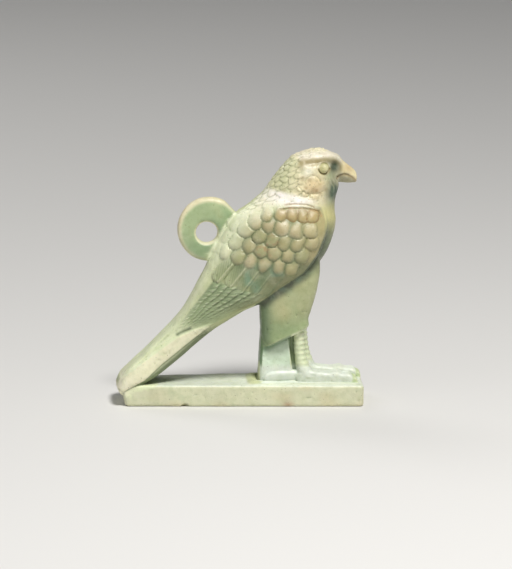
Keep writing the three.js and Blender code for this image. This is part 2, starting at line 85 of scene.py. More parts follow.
# Torso, neck and tail: back point, front point, half width and boxiness, from the crown to the tail's tip
BODY_SECTIONS = [
    (31.6, 100.0, 35.5, 100.0, 1.6, 2.0),
    (26.3, 98.6, 39.0, 98.0, 5.0, 2.1),
    (22.2, 96.6, 41.8, 95.5, 7.5, 2.2),
    (18.9, 93.2, 42.0, 92.3, 9.4, 2.2),
    (16.0, 89.8, 41.6, 88.6, 10.2, 2.1),
    (13.4, 86.5, 41.0, 84.5, 10.5, 2.0),
    (10.3, 82.2, 40.6, 80.0, 10.8, 2.0),
    (7.3, 79.1, 40.2, 75.9, 11.6, 2.1),
    (3.2, 75.7, 40.2, 72.5, 12.6, 2.2),
    (-1.4, 72.5, 40.5, 68.6, 13.4, 2.3),
    (-5.4, 67.9, 39.7, 63.4, 13.9, 2.3),
    (-8.1, 62.9, 36.7, 55.4, 14.0, 2.3),
    (-10.7, 58.4, 30.9, 47.5, 13.8, 2.3),
    (-12.7, 54.3, 23.2, 40.5, 13.4, 2.3),
    (-14.7, 49.2, 13.7, 35.2, 12.9, 2.4),
    (-17.8, 42.9, 3.7, 31.3, 12.3, 2.6),
    (-21.7, 35.3, -5.1, 26.4, 11.7, 2.8),
    (-27.0, 27.4, -13.9, 20.6, 11.3, 3.0),
    (-40.2, 13.6, -30.5, 6.8, 11.2, 3.2),
    (-46.7, 7.5, -38.3, 1.2, 11.5, 3.2),
    (-50.5, 3.2, -44.3, -1.3, 11.5, 3.0),
    (-52.7, -1.6, -50.1, -4.9, 10.9, 2.6),
]

# The wing stands proud of the breast and thigh along this edge, from the shoulder to the tail
WING_EDGE = [
    (28.0, 78.0),
    (33.9, 75.8),
    (35.6, 70.2),
    (35.2, 64.6),
    (31.8, 56.0),
    (26.1, 48.2),
    (16.4, 41.6),
    (8.1, 35.7),
    (-2.1, 31.3),
    (-14.0, 25.3),
]
WING_STEP = 1.5
WING_FULLNESS = 0.9
WING_RIM = 0.85

WING_ZONE = WING_EDGE + [(-40.0, 12.0), (-70.0, 12.0), (-70.0, 110.0), (20.0, 110.0), (24.0, 84.0)]
RUSTY_SCALES = ((12.8, 62.9), (9.2, 58.1))

THIGH_SECTIONS = [
    (11.3, 15.6, 28.2, 23.7, 4.7),
    (10.2, 16.4, 29.0, 24.6, 5.5),
    (9.2, 19.0, 28.8, 27.4, 5.3),
    (8.6, 23.9, 29.7, 30.4, 5.5),
    (8.4, 30.7, 31.1, 35.0, 5.8),
    (7.5, 37.5, 32.6, 40.8, 5.9),
    (8.0, 44.6, 33.7, 47.6, 5.6),
    (10.0, 52.0, 33.4, 54.6, 4.4),
]

HEM_LINE = [(9.4, 18.0), (10.8, 15.9), (17.2, 19.6), (22.4, 22.0), (28.6, 24.0)]
LEG_LINE = [(24.5, 27.0, 1.0), (24.6, 20.0, 1.0), (25.1, 12.6, 1.08), (26.0, 8.3, 1.25), (27.4, 4.4, 1.55), (28.4, 2.6, 1.6)]
LEG_RIDGE_PITCH = 2.1
LEG_RIDGE_HEIGHT = 0.11

TOE_LINE = [
    (23.6, 2.2, 0.9),
    (24.8, 3.2, 1.6),
    (27.0, 3.9, 2.0),
    (32.0, 3.2, 1.7),
    (37.5, 2.8, 1.6),
    (40.5, 3.0, 1.85),
    (43.0, 2.4, 1.55),
    (45.4, 2.3, 1.65),
    (46.9, 1.9, 1.4),
    (47.8, 1.5, 1.0),
    (48.6, 1.4, 0.9),
    (49.4, 0.6, 0.6),
]
TOE_SPREAD = (-3.4, 0.0, 3.4)
TOE_ROOT_SHARE = 0.5
HIND_TOE_ASIDE = 1.2
HIND_TOE_LINE = [(30.0, 3.4, 1.9), (25.0, 3.5, 1.8), (20.0, 3.4, 1.7), (15.0, 3.3, 1.7), (11.2, 2.5, 1.5), (9.8, 1.4, 0.9)]

BEAK_SECTIONS = [
    (37.0, 84.0, 37.0, 97.4, 7.6),
    (41.0, 84.8, 41.0, 96.8, 5.4),
    (43.4, 84.8, 43.4, 94.2, 4.0),
    (45.6, 84.5, 45.6, 92.4, 2.9),
    (47.7, 84.5, 47.7, 90.8, 1.9),
    (49.0, 84.6, 49.2, 89.0, 1.0),
    (49.5, 84.9, 49.6, 87.0, 0.5),
]
EYE = (35.2, 92.2, 1.85)
CHEEK = (30.2, 85.9, 2.9)
BROW_LINE = [(25.6, 96.6), (30.0, 97.4), (35.5, 97.5), (39.4, 96.9), (42.0, 95.2), (43.4, 93.2)]
BROW_RISE = 0.3
MOUTH_LINE = [(40.6, 87.2), (42.0, 88.3), (44.0, 88.8), (45.6, 88.3), (47.6, 87.0), (49.0, 85.6)]
LEDGE_LINE = [(15.0, 75.2), (19.9, 76.0), (26.1, 75.9), (29.6, 75.3), (32.9, 74.3), (33.8, 72.2)]
UPPER_LEDGE_LINE = [(18.5, 77.2), (22.4, 77.6), (27.6, 77.2), (30.6, 76.2)]
THROAT_FULLNESS = 0.4
CROWN_FALL = 0.22
HEAD_EDGE_LINE = [(23.8, 84.9), (25.7, 83.0), (27.5, 81.7), (31.3, 81.4), (33.1, 81.7)]

# Small feathers: length down the body, width round it and height, in millimetres
HEAD_FEATHER = (1.25, 1.6)
HEAD_RISE = 0.34
NAPE_FEATHER = (1.45, 1.75)
NAPE_RISE = 0.22

# Rows of round scales on the wing: first, middle and last place, count, width, length
SCALE_ROWS = [
    (11.0, 73.0, 21.0, 73.2, 30.3, 72.6, 5, 5.5, 5.6),
    (6.4, 70.2, 16.7, 68.4, 29.3, 67.0, 5, 6.4, 7.4),
    (2.5, 66.8, 15.4, 62.6, 29.6, 61.4, 6, 6.1, 7.6),
    (-2.0, 61.6, 10.9, 58.0, 25.4, 56.0, 6, 6.1, 7.4),
    (-6.0, 57.4, 6.7, 53.4, 21.5, 50.5, 6, 6.0, 7.0),
]
SCALE_RISE = 0.54
SCALE_WANDER = 0.75
SCALE_SLOPE = 0.62

# Long wing feathers below the scales: root and tip of the first and of the last
COVERTS = ((-4.7, 53.4, -11.5, 44.7), (16.5, 48.1, 9.3, 38.3), 5, 4.9)
COVERT_RISE = 0.3
COVERT_FADE = 0.88
PRIMARY_PATCH = ((-11.5, 45.0), (11.0, 38.6), (-28.4, 22.6), (-21.6, 23.9))
PRIMARY_COUNT = 7
PRIMARY_RISE = 0.26
PRIMARY_KNOTS = 12

TAIL_STRIP = [
    (-11.5, 26.6),
    (-20.6, 19.7),
    (-33.9, 8.9),
    (-40.7, 2.4),
    (-50.0, -2.6),
    (-53.6, -0.5),
    (-51.4, 2.2),
    (-38.9, 11.8),
    (-27.0, 20.7),
    (-20.0, 24.0),
    (-13.4, 26.4),
]
TAIL_RIDGES = (1.2, 2.7)
TAIL_GROOVE = 0.2
TAIL_STRIP_RISE = 0.16
CREVICE_LINE = [(-27.1, 21.9), (-24.6, 23.3), (-21.6, 24.6)]
PINK_SPOT = 8.9


def place(x, z, y):
    x, z, y = np.broadcast_arrays(x, z, y)
    return np.stack([FIGURE_X + x * UNIT, y, PLINTH_HEIGHT + z * UNIT], axis=-1)


def smooth_rows(rows, count):
    """Rows of numbers at even steps along the list, on a Catmull-Rom curve."""
    rows = np.array(rows, float)
    at = np.linspace(0, len(rows) - 1, count)
    i = np.minimum(at.astype(int), len(rows) - 2)
    t = (at - i)[:, None]
    before, after = rows[np.maximum(i - 1, 0)], rows[np.minimum(i + 2, len(rows) - 1)]
    p1, p2 = rows[i], rows[i + 1]
    bend = 2 * before - 5 * p1 + 4 * p2 - after
    twist = 3 * p1 - before - 3 * p2 + after
    return p1 + 0.5 * t * (p2 - before + t * (bend + t * twist))


def rounded(value, boxiness):
    return np.sign(value) * np.abs(value) ** (2 / boxiness)


def smoothstep(low, high, value):
    t = np.clip((value - low) / (high - low), 0, 1)
    return t * t * (3 - 2 * t)


def bell(x, z, cx, cz, rx, rz, turn=0.0):
    """A soft spot: 1 at its middle, falling to nothing a few radii away."""
    dx, dz = x - cx, z - cz
    c, s = math.cos(turn), math.sin(turn)
    u, v = (dx * c + dz * s) / rx, (dz * c - dx * s) / rz
    return np.exp(-(u * u + v * v))


def line_distance(x, z, points):
    """Distance from each place to an open line, and the share of the line's length reached."""
    points = np.array(points, float)
    spans = np.diff(points, axis=0)
    lengths = np.hypot(spans[:, 0], spans[:, 1])
    starts = np.concatenate([[0], np.cumsum(lengths)])
    best = np.full(x.shape, 1e9)
    reach = np.zeros(x.shape)
    for (ax, az), (dx, dz), length, start in zip(points, spans, lengths, starts):
        t = np.clip(((x - ax) * dx + (z - az) * dz) / length**2, 0, 1)
        distance = np.hypot(x - ax - t * dx, z - az - t * dz)
        closer = distance < best
        best = np.where(closer, distance, best)
        reach = np.where(closer, (start + t * length) / starts[-1], reach)
    return best, reach


def inside(x, z, polygon):
    """Signed distance to a closed outline, positive inside."""
    points = np.array(polygon, float)
    crossings = np.zeros(x.shape, int)
    for (ax, az), (bx, bz) in zip(points, np.roll(points, -1, axis=0)):
        spans = (az > z) != (bz > z)
        level = (bx - ax) * (z - az) / (bz - az + 1e-12) + ax
        crossings += spans & (x < level)
    distance, _ = line_distance(x, z, list(points) + [points[0]])
    return np.where(crossings % 2 == 1, distance, -distance)


def value_noise(points, scale, seed):
    """Smooth noise from -1 to 1 at points in millimetres; scale is its grain in millimetres."""
    p = points / scale + seed * 17.3
    cell = np.floor(p).astype(np.int64)
    f = p - cell
    f = f * f * (3 - 2 * f)
    total = np.zeros(len(p))
    for corner in range(8):
        offset = np.array([corner & 1, corner >> 1 & 1, corner >> 2 & 1])
        c = cell + offset
        h = (c[:, 0] * 374761393 + c[:, 1] * 668265263 + c[:, 2] * 2147483647 + seed * 974711) & 0x7FFFFFFF
        h = ((h ^ (h >> 13)) * 1274126177) & 0x7FFFFFFF
        weight = np.prod(np.where(offset == 1, f, 1 - f), axis=1)
        total += weight * ((h ^ (h >> 16)) % 65536 / 32768 - 1)
    return total


def loft(rings):
    """A closed skin through rings of equal count, with a fan over each end."""
    rings = np.array(rings)
    rows, count = rings.shape[:2]
    points = np.concatenate([rings.reshape(-1, 3), [rings[0].mean(axis=0)], [rings[-1].mean(axis=0)]])
    faces = []
    for r in range(rows - 1):
        for i in range(count):
            j = (i + 1) % count
            faces.append((r * count + i, r * count + j, (r + 1) * count + j, (r + 1) * count + i))
    last = (rows - 1) * count
    for i in range(count):
        j = (i + 1) % count
        faces.append((rows * count, j, i))
        faces.append((rows * count + 1, last + i, last + j))
    return points, faces


def edge_share(back, front):
    """Where the wing's edge crosses a section: share from back to front, and share of the edge."""
    dx, dz = front[0] - back[0], front[1] - back[1]
    for i, ((ax, az), (bx, bz)) in enumerate(zip(WING_CURVE, WING_CURVE[1:])):
        cross = dx * (bz - az) - dz * (bx - ax)
        along = ((ax - back[0]) * (bz - az) - (az - back[1]) * (bx - ax)) / cross
        share = ((ax - back[0]) * dz - (az - back[1]) * dx) / cross
        if 0 <= share < 1 and 0 < along < 1:
            return along, (i + share) / (len(WING_CURVE) - 1)
    return None


BACK_POINTS = 44
FRONT_POINTS = 28
WING_CURVE = smooth_rows(WING_EDGE, 50)


def body_ring(section):
    back_x, back_z, front_x, front_z, half_width, boxiness = section
    edge = edge_share((back_x, back_z), (front_x, front_z))
    edge_angle = math.acos(1 - 2 * edge[0]) if edge else math.pi * 0.6
    fade = min(smoothstep(0.06, 0.36, edge[1]), 5 * (1 - edge[1])) if edge else 0
    gap = max(0, WING_FULLNESS - rounded(math.sin(edge_angle), boxiness)) * half_width * UNIT
    back = np.linspace(0, edge_angle, BACK_POINTS)
    front = np.linspace(edge_angle + 0.05, math.pi, FRONT_POINTS)
    angle = np.concatenate([back, front])
    along = (1 - rounded(np.cos(angle), boxiness)) / 2
    out = half_width * UNIT * rounded(np.sin(angle), boxiness)
    share = back / edge_angle
    lift = WING_STEP * UNIT * np.minimum(1, 1.6 * share) ** 2 + gap * share**3
    out[:BACK_POINTS] += fade * (lift - WING_RIM * np.clip((share - 0.7) / 0.3, 0, 1) ** 2.2)
    x, z = back_x + (front_x - back_x) * along, back_z + (front_z - back_z) * along
    near = place(x, z, -out)
    far = place(x, z, out)[1:-1][::-1]
    return np.concatenate([near, far])


def body():
    return loft([body_ring(section) for section in smooth_rows(BODY_SECTIONS, 150)])


def slant_rings(sections, middle, boxiness, rows, count):
    """Rings in slanting planes about a middle line that stands off to one side."""
    angle = np.linspace(0, 2 * math.pi, count, endpoint=False)
    along = (1 - rounded(np.cos(angle), boxiness)) / 2
    rings = []
    for back_x, back_z, front_x, front_z, half_width in smooth_rows(sections, rows):
        out = middle + half_width * UNIT * rounded(np.sin(angle), boxiness)
        rings.append(place(back_x + (front_x - back_x) * along, back_z + (front_z - back_z) * along, out))
    return rings


def thigh(side):
    return loft(slant_rings(THIGH_SECTIONS, side * LEG_SPACING / 2, 2.4, 40, 48))


def lower_leg(side):
    """The lower leg, with ridges that run round its front."""
    angle = np.linspace(0, 2 * math.pi, 32, endpoint=False)
    rings = []
    for x, z, share in smooth_rows(LEG_LINE, 120):
        ridge = LEG_RIDGE_HEIGHT * math.cos(2 * math.pi * z / LEG_RIDGE_PITCH) * min(1, max(0, (z - 5) / 5))
        radius = LEG_THICKNESS / 2 * share + ridge * (0.35 + 0.65 * np.clip(np.cos(angle), 0, 1) ** 0.5)
        ring = place(x, z, side * LEG_SPACING / 2 + LEG_SIDEWAYS_SHARE * radius * np.sin(angle))
        ring[:, 0] += FAR_LEG_ADVANCE * (side > 0) + radius * np.cos(angle)
        rings.append(ring)
    return loft(rings)


def toe(line, side, start_aside, end_aside):
    """A toe that lies on the plinth, flat below."""
    angle = np.linspace(0, 2 * math.pi, 24, endpoint=False)
    rings = []
    rows = smooth_rows(line, 40)
    for k, (x, z, radius) in enumerate(rows):
        aside = start_aside + (end_aside - start_aside) * k / (len(rows) - 1)
        ring = place(x, z, side * LEG_SPACING / 2 + aside * UNIT + radius * UNIT * np.sin(angle))
        ring[:, 2] += radius * UNIT * np.cos(angle)
        ring[:, 2] = np.where(np.cos(angle) < -0.5, PLINTH_HEIGHT - SINK, ring[:, 2])
        ring[:, 0] += FAR_LEG_ADVANCE * (side > 0)
        rings.append(ring)
    return loft(rings)


def foot(side):
    toes = [toe(TOE_LINE, side, aside * TOE_ROOT_SHARE, aside) for aside in TOE_SPREAD]
    return toes + [toe(HIND_TOE_LINE, side, 0, side * HIND_TOE_ASIDE)]


def prism(outline, low, high):
    """A straight prism: the outline is in plan, low and high give its two ends."""
    count = len(outline)
    points = [(x, y, low) for x, y in outline] + [(x, y, high) for x, y in outline]
    faces = [tuple(reversed(range(count))), tuple(range(count, 2 * count))]
    for i in range(count):
        j = (i + 1) % count
        faces.append((i, j, count + j, count + i))
    return np.array(points, float), faces


def plinth():
    back_x = PLINTH_FRONT_X - PLINTH_LENGTH
    half_back, half_front = PLINTH_BACK_WIDTH / 2, PLINTH_FRONT_WIDTH / 2
    rings = []
    for angle in np.concatenate([np.linspace(-90, 0, 7), np.linspace(0, 90, 7)]):
        c, s = math.cos(math.radians(angle)), math.sin(math.radians(angle))
        z = PLINTH_ROUND + PLINTH_ROUND * s if angle < 0 else PLINTH_HEIGHT - PLINTH_ROUND * (1 - s)
        if angle == 0 and len(rings) == 6:
            z = PLINTH_ROUND
        inset = PLINTH_ROUND * (1 - c)
        slant = PLINTH_END_SLANT * (1 - z / PLINTH_HEIGHT)
        back, front = back_x + slant + inset, PLINTH_FRONT_X - inset
        half_b, half_f, cut = half_back - inset, half_front - inset, PLINTH_ROUND
        rings.append(
            [
                (back, -half_b + cut, z),
                (back + cut, -half_b, z),
                (front - cut, -half_f, z),
                (front, -half_f + cut, z),
                (front, half_f - cut, z),
                (front - cut, half_f, z),
                (back + cut, half_b, z),
                (back, half_b - cut, z),
            ]
        )
    return loft(rings)


def upright_block(back_x, front_x, width, rear_lean, front_lean):
    """A block that stands in the plinth, narrower at its top and with its rear corners cut off."""
    half = width / 2
    corner = PILLAR_CORNER
    rings = []
    for share in np.linspace(0, 1, 2):
        back, front = back_x + rear_lean * share, front_x - front_lean * share
        z = PLINTH_HEIGHT - SINK + (PILLAR_HEIGHT + SINK) * share
        rings.append(
            [
                (back, -half + corner, z),
                (back + corner, -half, z),
                (front, -half, z),
                (front, half, z),
                (back + corner, half, z),
                (back, half - corner, z),
            ]
        )
    return loft(rings)


def pillar():
    """The support pillar behind the lower legs, and the web in the groove."""
    leg_x = FIGURE_X + LEG_LINE[2][0] * UNIT
    front_x = leg_x - LEG_THICKNESS / 2 - PILLAR_GROOVE + PILLAR_FRONT_LEAN / 2
    back_x = front_x - PILLAR_BASE_LENGTH
    web_x = front_x - PILLAR_FRONT_LEAN - PILLAR_GROOVE
    return [
        upright_block(back_x, front_x, PILLAR_WIDTH, PILLAR_REAR_LEAN, PILLAR_FRONT_LEAN),
        upright_block(web_x, leg_x + FAR_LEG_ADVANCE, PILLAR_WIDTH - 2 * PILLAR_GROOVE_DEPTH, 0, FAR_LEG_ADVANCE),
    ]


def sole_relief(points, normals):
    """The plinth's top swells a little under the pillar and the feet."""
    x, y, z = points.T
    back_x = LEG_LINE[2][0] * UNIT - PILLAR_BASE_LENGTH - SOLE_MARGIN - LEG_THICKNESS
    along = smoothstep(back_x - SOLE_SLOPE, back_x + SOLE_SLOPE, x) * smoothstep(21.5, 18.0, x)
    across = smoothstep(5.4, 3.6, np.abs(y))
    on_top = smoothstep(0.5, 0.9, normals[:, 2]) * (np.abs(z - PLINTH_HEIGHT) < 0.25)
    return SOLE_HEIGHT * along * across * on_top


def loop():
    """The flat loop: a round disc that runs straight into the shoulders, round at its rims."""
    steps = 96
    angle = np.radians(np.linspace(LOOP_ARC_START, LOOP_ARC_END, steps))
    radius = LOOP_DIAMETER / 2
    arc = np.stack([radius * np.cos(angle), radius * np.sin(angle)], axis=1)
    root = np.array([(0.9 * radius, -radius), (1.25 * radius, 0.1 * radius)])
    closing = np.concatenate([[arc[-1]], root, [arc[0]]])
    t = np.linspace(0, 3, 60)[1:-1]
    straight = np.stack([np.interp(t, range(4), closing[:, k]) for k in range(2)], axis=1)
    outer = np.concatenate([arc, straight])
    shift = -LOOP_BORE_OFFSET / math.sqrt(2)
    bearing = np.arctan2(outer[:, 1] - shift, outer[:, 0] - shift)
    bore = shift + LOOP_BORE / 2 * np.stack([np.cos(bearing), np.sin(bearing)], axis=1)
    rings = []
    turn = np.linspace(0, 2 * math.pi, 33)[:-1]
    half = LOOP_THICKNESS / 2
    for u, v in zip(rounded(np.cos(turn), 5), rounded(np.sin(turn), 3.4)):
        share = (1 + u) / 2
        flat = bore + (outer - bore) * share
        rings.append(place(LOOP_MIDDLE[0], LOOP_MIDDLE[1], half * v) + np.stack([flat[:, 0], 0 * flat[:, 0], flat[:, 1]], axis=1))
    rings = np.array(rings).transpose(1, 0, 2)
    return torus(rings)


def torus(rings):
    """A closed tube of rings, the last joined to the first."""
    rows, count = rings.shape[:2]
    faces = []
    for r in range(rows):
        n = (r + 1) % rows
        for i in range(count):
            j = (i + 1) % count
            faces.append((r * count + i, n * count + i, n * count + j, r * count + j))
    return rings.reshape(-1, 3), faces


def beak():
    return loft(slant_rings(BEAK_SECTIONS, 0, 2.1, 40, 40))


def skin_width(x, z):
    """The body's half width at a place in the side view, in millimetres."""
    station, along = section_place(np.array([x], float), np.array([z], float))
    rows = smooth_rows(BODY_SECTIONS, 400)
    row = rows[int(round(station[0] * 399))]
    across = 2 * along[0] - 1
    return row[4] * UNIT * (1 - abs(across) ** row[5]) ** (1 / row[5])


def ball(x, z, radius, depth, side, lift=0.0):
    angle = np.linspace(0, 2 * math.pi, 32, endpoint=False)
    rings = []
    middle = side * (skin_width(x, z) + lift)
    for tilt in np.linspace(-math.pi / 2, math.pi / 2, 21)[1:-1]:
        ring = place(x + radius * math.cos(tilt) * np.cos(angle), z + radius * math.cos(tilt) * np.sin(angle), middle)
        ring[:, 1] += radius * UNIT * depth * math.sin(tilt)
        rings.append(ring)
    return loft(rings)


def brow(side):
    """The ridge over the eye, from the temple to the root of the beak."""
    line = [(24.2, 94.6, 0.4), (29.0, 95.9, 0.85), (34.0, 96.4, 1.0), (38.5, 95.8, 1.0), (41.2, 94.4, 0.8), (43.2, 92.6, 0.4)]
    angle = np.linspace(0, 2 * math.pi, 20, endpoint=False)
    rings = []
    for x, z, size in smooth_rows(line, 40):
        width = skin_width(min(x, 40.2), z - 1.2) - 0.12
        ring = place(x, z, side * width)
        ring = ring + np.zeros((20, 1))
        ring[:, 2] += 1.15 * UNIT * size * np.sin(angle)
        ring[:, 1] += side * 1.1 * UNIT * size * np.cos(angle)
        rings.append(ring)
    return loft(rings)


def section_place(x, z):
    """For places in the side view: the station down the body from 0 to 1, and the share from back to front."""
    rows = smooth_rows(BODY_SECTIONS, 240)
    station = np.full(x.shape, -1.0)
    along = np.zeros(x.shape)
    found = np.zeros(x.shape, bool)
    best = np.full(x.shape, 1e9)
    side_before = None
    for k, (bx, bz, fx, fz, _, _) in enumerate(rows):
        dx, dz = fx - bx, fz - bz
        length = math.hypot(dx, dz)
        cross = (dx * (z - bz) - dz * (x - bx)) / length
        share = ((x - bx) * dx + (z - bz) * dz) / length**2
        if side_before is not None:
            change = (cross * side_before <= 0) & (share > -0.25) & (share < 1.25)
            off = np.abs(share - 0.5)
            t = np.abs(side_before) / (np.abs(side_before) + np.abs(cross) + 1e-12)
            better = change & (off < best)
            station = np.where(better, (k - 1 + t) / (len(rows) - 1), station)
            along = np.where(better, share, along)
            best = np.where(better, off, best)
            found |= better
        side_before = cross
    return np.where(found, station, -1.0), along


def scale_places():
    """Every round scale on the wing: place, direction of its tip, size, and its row."""
    scales = []
    for row, (ax, az, mx, mz, bx, bz, count, width, length) in enumerate(SCALE_ROWS):
        cx, cz = 2 * mx - (ax + bx) / 2, 2 * mz - (az + bz) / 2
        for k in range(-1, count):
            t = k / (count - 1)
            x = (1 - t) ** 2 * ax + 2 * t * (1 - t) * cx + t * t * bx
            z = (1 - t) ** 2 * az + 2 * t * (1 - t) * cz + t * t * bz
            jitter = np.random.default_rng((SEED, row, k + 1)).normal(0, 1, 6)
            scales.append(
                {
                    "x": x + 0.15 * jitter[1],
                    "z": z + 0.15 * jitter[2],
                    "slope": SCALE_SLOPE * (1 - 0.75 * t) + 0.06 * jitter[0],
                    "width": width * (0.9 + 0.1 * t) * (1 + 0.05 * jitter[3]),
                    "length": length * (1 + 0.06 * jitter[4]),
                    "rise": (0.4 if k < 0 else 1) * (1 + 0.1 * jitter[5]),
                    "square": 2.8 if row == 0 else 2.2 + 0.3 * t,
                    "tone": jitter[5],
                    "row": row,
                }
            )
    return scales


def dome(p, q, half_width, root, tip):
    """A pillow with a round lower end: p across, q down; 0 at its rim and outside."""
    r = np.where(q > 0, np.hypot(p / half_width, q / tip), np.hypot(p / half_width, 0.8 * q / root))
    lift = 0.72 + 0.28 * np.clip(q / tip, -1, 1)
    return np.clip(1 - np.clip(r, 0, 1) ** 3.2, 0, 1) ** 0.6 * lift


def scale_relief(x, z):
    """Rounded feathers in rows, each row lapped over the next: height, depth in from the rim, row, tone, and the spot
    on each scale's upper middle where a painted highlight goes.
    """
    height = np.zeros(x.shape)
    depth = np.zeros(x.shape)
    row = np.full(x.shape, -1.0)
    tone = np.zeros(x.shape)
    highlight = np.zeros(x.shape)
    places = np.stack([x, 0 * x, z], axis=-1)
    wander_x, wander_z = (SCALE_WANDER * value_noise(places, 3.4, seed) for seed in (41, 42))
    for scale in sorted(scale_places(), key=lambda one: -one["row"]):
        down = (-math.sin(scale["slope"]), -math.cos(scale["slope"]))
        dx, dz = x + wander_x - scale["x"], z + wander_z - scale["z"]
        q = 2 * (dx * down[0] + dz * down[1]) / scale["length"]
        p = 2 * (dx * down[1] - dz * down[0]) / scale["width"]
        n = scale["square"]
        r = (np.abs(p) ** n + np.abs(q) ** n) ** (1 / n)
        lift = 0.82 + 0.18 * np.clip(q, -1, 1)
        share = np.clip(1 - np.clip(r, 0, 1) ** 2.1, 0, 1) ** 0.75
        shape = SCALE_RISE * scale["rise"] * lift * share
        over = (r < 1) & (((q > -0.35) & (scale["rise"] > 0.6)) | (shape > height))
        height = np.where(over, shape, height)
        depth = np.where(over, share * min(1, scale["rise"]), depth)
        row = np.where(over, scale["row"], row)
        tone = np.where(over, scale["tone"], tone)
        top = np.exp(-((p / 0.6) ** 2) - ((q + 0.3) / 0.42) ** 2) * min(1, scale["rise"])
        highlight = np.where(over, top, highlight)
    return height, depth, row, tone, highlight


def covert_relief(x, z):
    """Broad feathers with a raised shaft along the lower side and a round tip, fainter towards the breast."""
    first, last, count, width = COVERTS
    height = np.zeros(x.shape)
    barb = np.zeros(x.shape)
    mask = np.zeros(x.shape)
    shafts = np.zeros(x.shape)
    half = width / 2
    for k in range(count):
        ax, az, bx, bz = (f + (l - f) * k / (count - 1) for f, l in zip(first, last))
        strength = 1 - COVERT_FADE * (k / (count - 1)) ** 0.8
        length = math.hypot(bx - ax, bz - az)
        down = ((bx - ax) / length, (bz - az) / length)
        q = (x - ax) * down[0] + (z - az) * down[1]
        p = (x - ax) * down[1] - (z - az) * down[0]
        body_part = np.where(q > length - half, np.hypot(p, q - (length - half)) / half, np.abs(p) / half)
        inside_it = (body_part < 1) & (q > -1.5)
        rim = np.clip(1 - body_part**5, 0, 1) ** 0.8 * smoothstep(-1.5, 1.0, q)
        shape = strength * COVERT_RISE * rim * (0.45 + 0.55 * np.clip(q / length, 0, 1))
        ridge = np.exp(-(((p + 0.6 * half) / 0.42) ** 2)) * (q < length - 0.5)
        shape = np.where(inside_it, shape + 0.2 * strength * ridge, 0)
        height = np.maximum(height, shape)
        barb = np.where(inside_it, q * 0.45 + p * 0.9, barb)
        mask = np.where(inside_it, rim * strength, mask)
        shafts = np.where(inside_it, ridge * strength, shafts)
    return height, barb, mask, shafts


def patch_place(x, z, patch):
    """Inverse of a four-cornered patch: share from its root edge to its tip edge, and share across."""
    a0, a1, b0, b1 = (np.array(corner) for corner in patch)
    u = np.full(x.shape, 0.5)
    v = np.full(x.shape, 0.5)
    for _ in range(12):
        root_x, root_z = a0[0] + (a1[0] - a0[0]) * v, a0[1] + (a1[1] - a0[1]) * v
        tip_x, tip_z = b0[0] + (b1[0] - b0[0]) * v, b0[1] + (b1[1] - b0[1]) * v
        fx, fz = root_x + (tip_x - root_x) * u - x, root_z + (tip_z - root_z) * u - z
        ux, uz = tip_x - root_x, tip_z - root_z
        vx = (a1[0] - a0[0]) * (1 - u) + (b1[0] - b0[0]) * u
        vz = (a1[1] - a0[1]) * (1 - u) + (b1[1] - b0[1]) * u
        det = ux * vz - uz * vx
        det = np.where(np.abs(det) < 1e-6, 1e-6, det)
        u = np.clip(u - (fx * vz - fz * vx) / det, -1, 2)
        v = np.clip(v - (ux * fz - uz * fx) / det, -1, 2)
    return u, v


def primary_relief(x, z):
    """Long narrow feathers that run together at the wing's tip, each lapped over the next."""
    u, v = patch_place(x, z, PRIMARY_PATCH)
    within = smoothstep(-0.03, 0.02, v) * smoothstep(1.03, 0.98, v) * smoothstep(-0.04, 0.03, u) * smoothstep(1.02, 0.9, u)
    places = np.stack([x, 0 * x, z], axis=-1)
    lane = v * PRIMARY_COUNT + 0.25 * value_noise(places, 5.0, 43)
    share = lane - np.floor(lane)
    saw = share**0.8 * smoothstep(1.0, 0.82, share)
    fade = (1 - 0.35 * np.clip(u, 0, 1)) * (1 - 0.6 * smoothstep(0.6, 0.95, v))
    barbs = u * PRIMARY_KNOTS + 0.37 * np.floor(lane) + 0.6 * share + 0.5 * value_noise(places, 3.0, 44)
    knots = 1 + 0.38 * np.sin(2 * math.pi * barbs)
    return PRIMARY_RISE * saw * within * fade * knots, u * 14 + share * 1.6, within * fade, saw * np.clip(knots, 0.8, 1.1)


def tail_relief(x, z, sideways):
    """The flat strip along the tail's side, and the grooves beside its upper edge."""
    strip = smoothstep(-0.25, 0.35, inside(x, z, TAIL_STRIP))
    above = (z - 20.7) * 0.8 - (x + 27.0) * 0.6
    groove = np.zeros(x.shape)
    for offset in TAIL_RIDGES:
        groove += TAIL_GROOVE * np.exp(-(((above - offset) / 0.6) ** 2))
    along = smoothstep(-24, -32, x) * smoothstep(28, 22, z) * smoothstep(0.1, 0.75, sideways)
    return TAIL_STRIP_RISE * strip - groove * along * (1 - strip), strip


def mantle_relief(down, girth, pitch_down, pitch_across):
    """Small staggered feathers, each lapped over the one below: height, and the shade under each tip."""
    height = np.zeros(down.shape)
    shade = np.zeros(down.shape)
    down = down + 0.14 * pitch_down * np.sin(2.3 * girth + 1.1 * down)
    girth = girth + 0.16 * pitch_across * np.sin(1.9 * down + 0.8 * girth)
    base_row = np.floor(down / pitch_down)
    for shift in (1, 0, -1):
        row = base_row + shift
        offset = np.where(row.astype(int) % 2 == 0, 0.0, 0.5)
        q = (down - row * pitch_down) / pitch_down
        column = np.round(girth / pitch_across - offset)
        p = (girth / pitch_across - column - offset) * 2
        r = np.where(q > 0.45, np.hypot(p / 1.04, (q - 0.45) / 0.95), np.abs(p) / 1.04)
        body_part = (r < 1) & (q > -0.15)
        shape = (0.35 + 0.65 * np.clip(q / 1.4, 0, 1)) * np.clip(1 - r**6, 0, 1) ** 0.5
        shade = np.where(body_part, 0.9 * smoothstep(0.86, 1.0, r) * (q > 0.2), shade)
        rim = np.exp(-(((r - 1.04) / 0.12) ** 2)) * (q > 0.3) * (q < 1.7)
        shade = np.where(body_part, shade, np.maximum(shade, rim))
        height = np.where(body_part, shape, height)
    return height - 0.75, shade


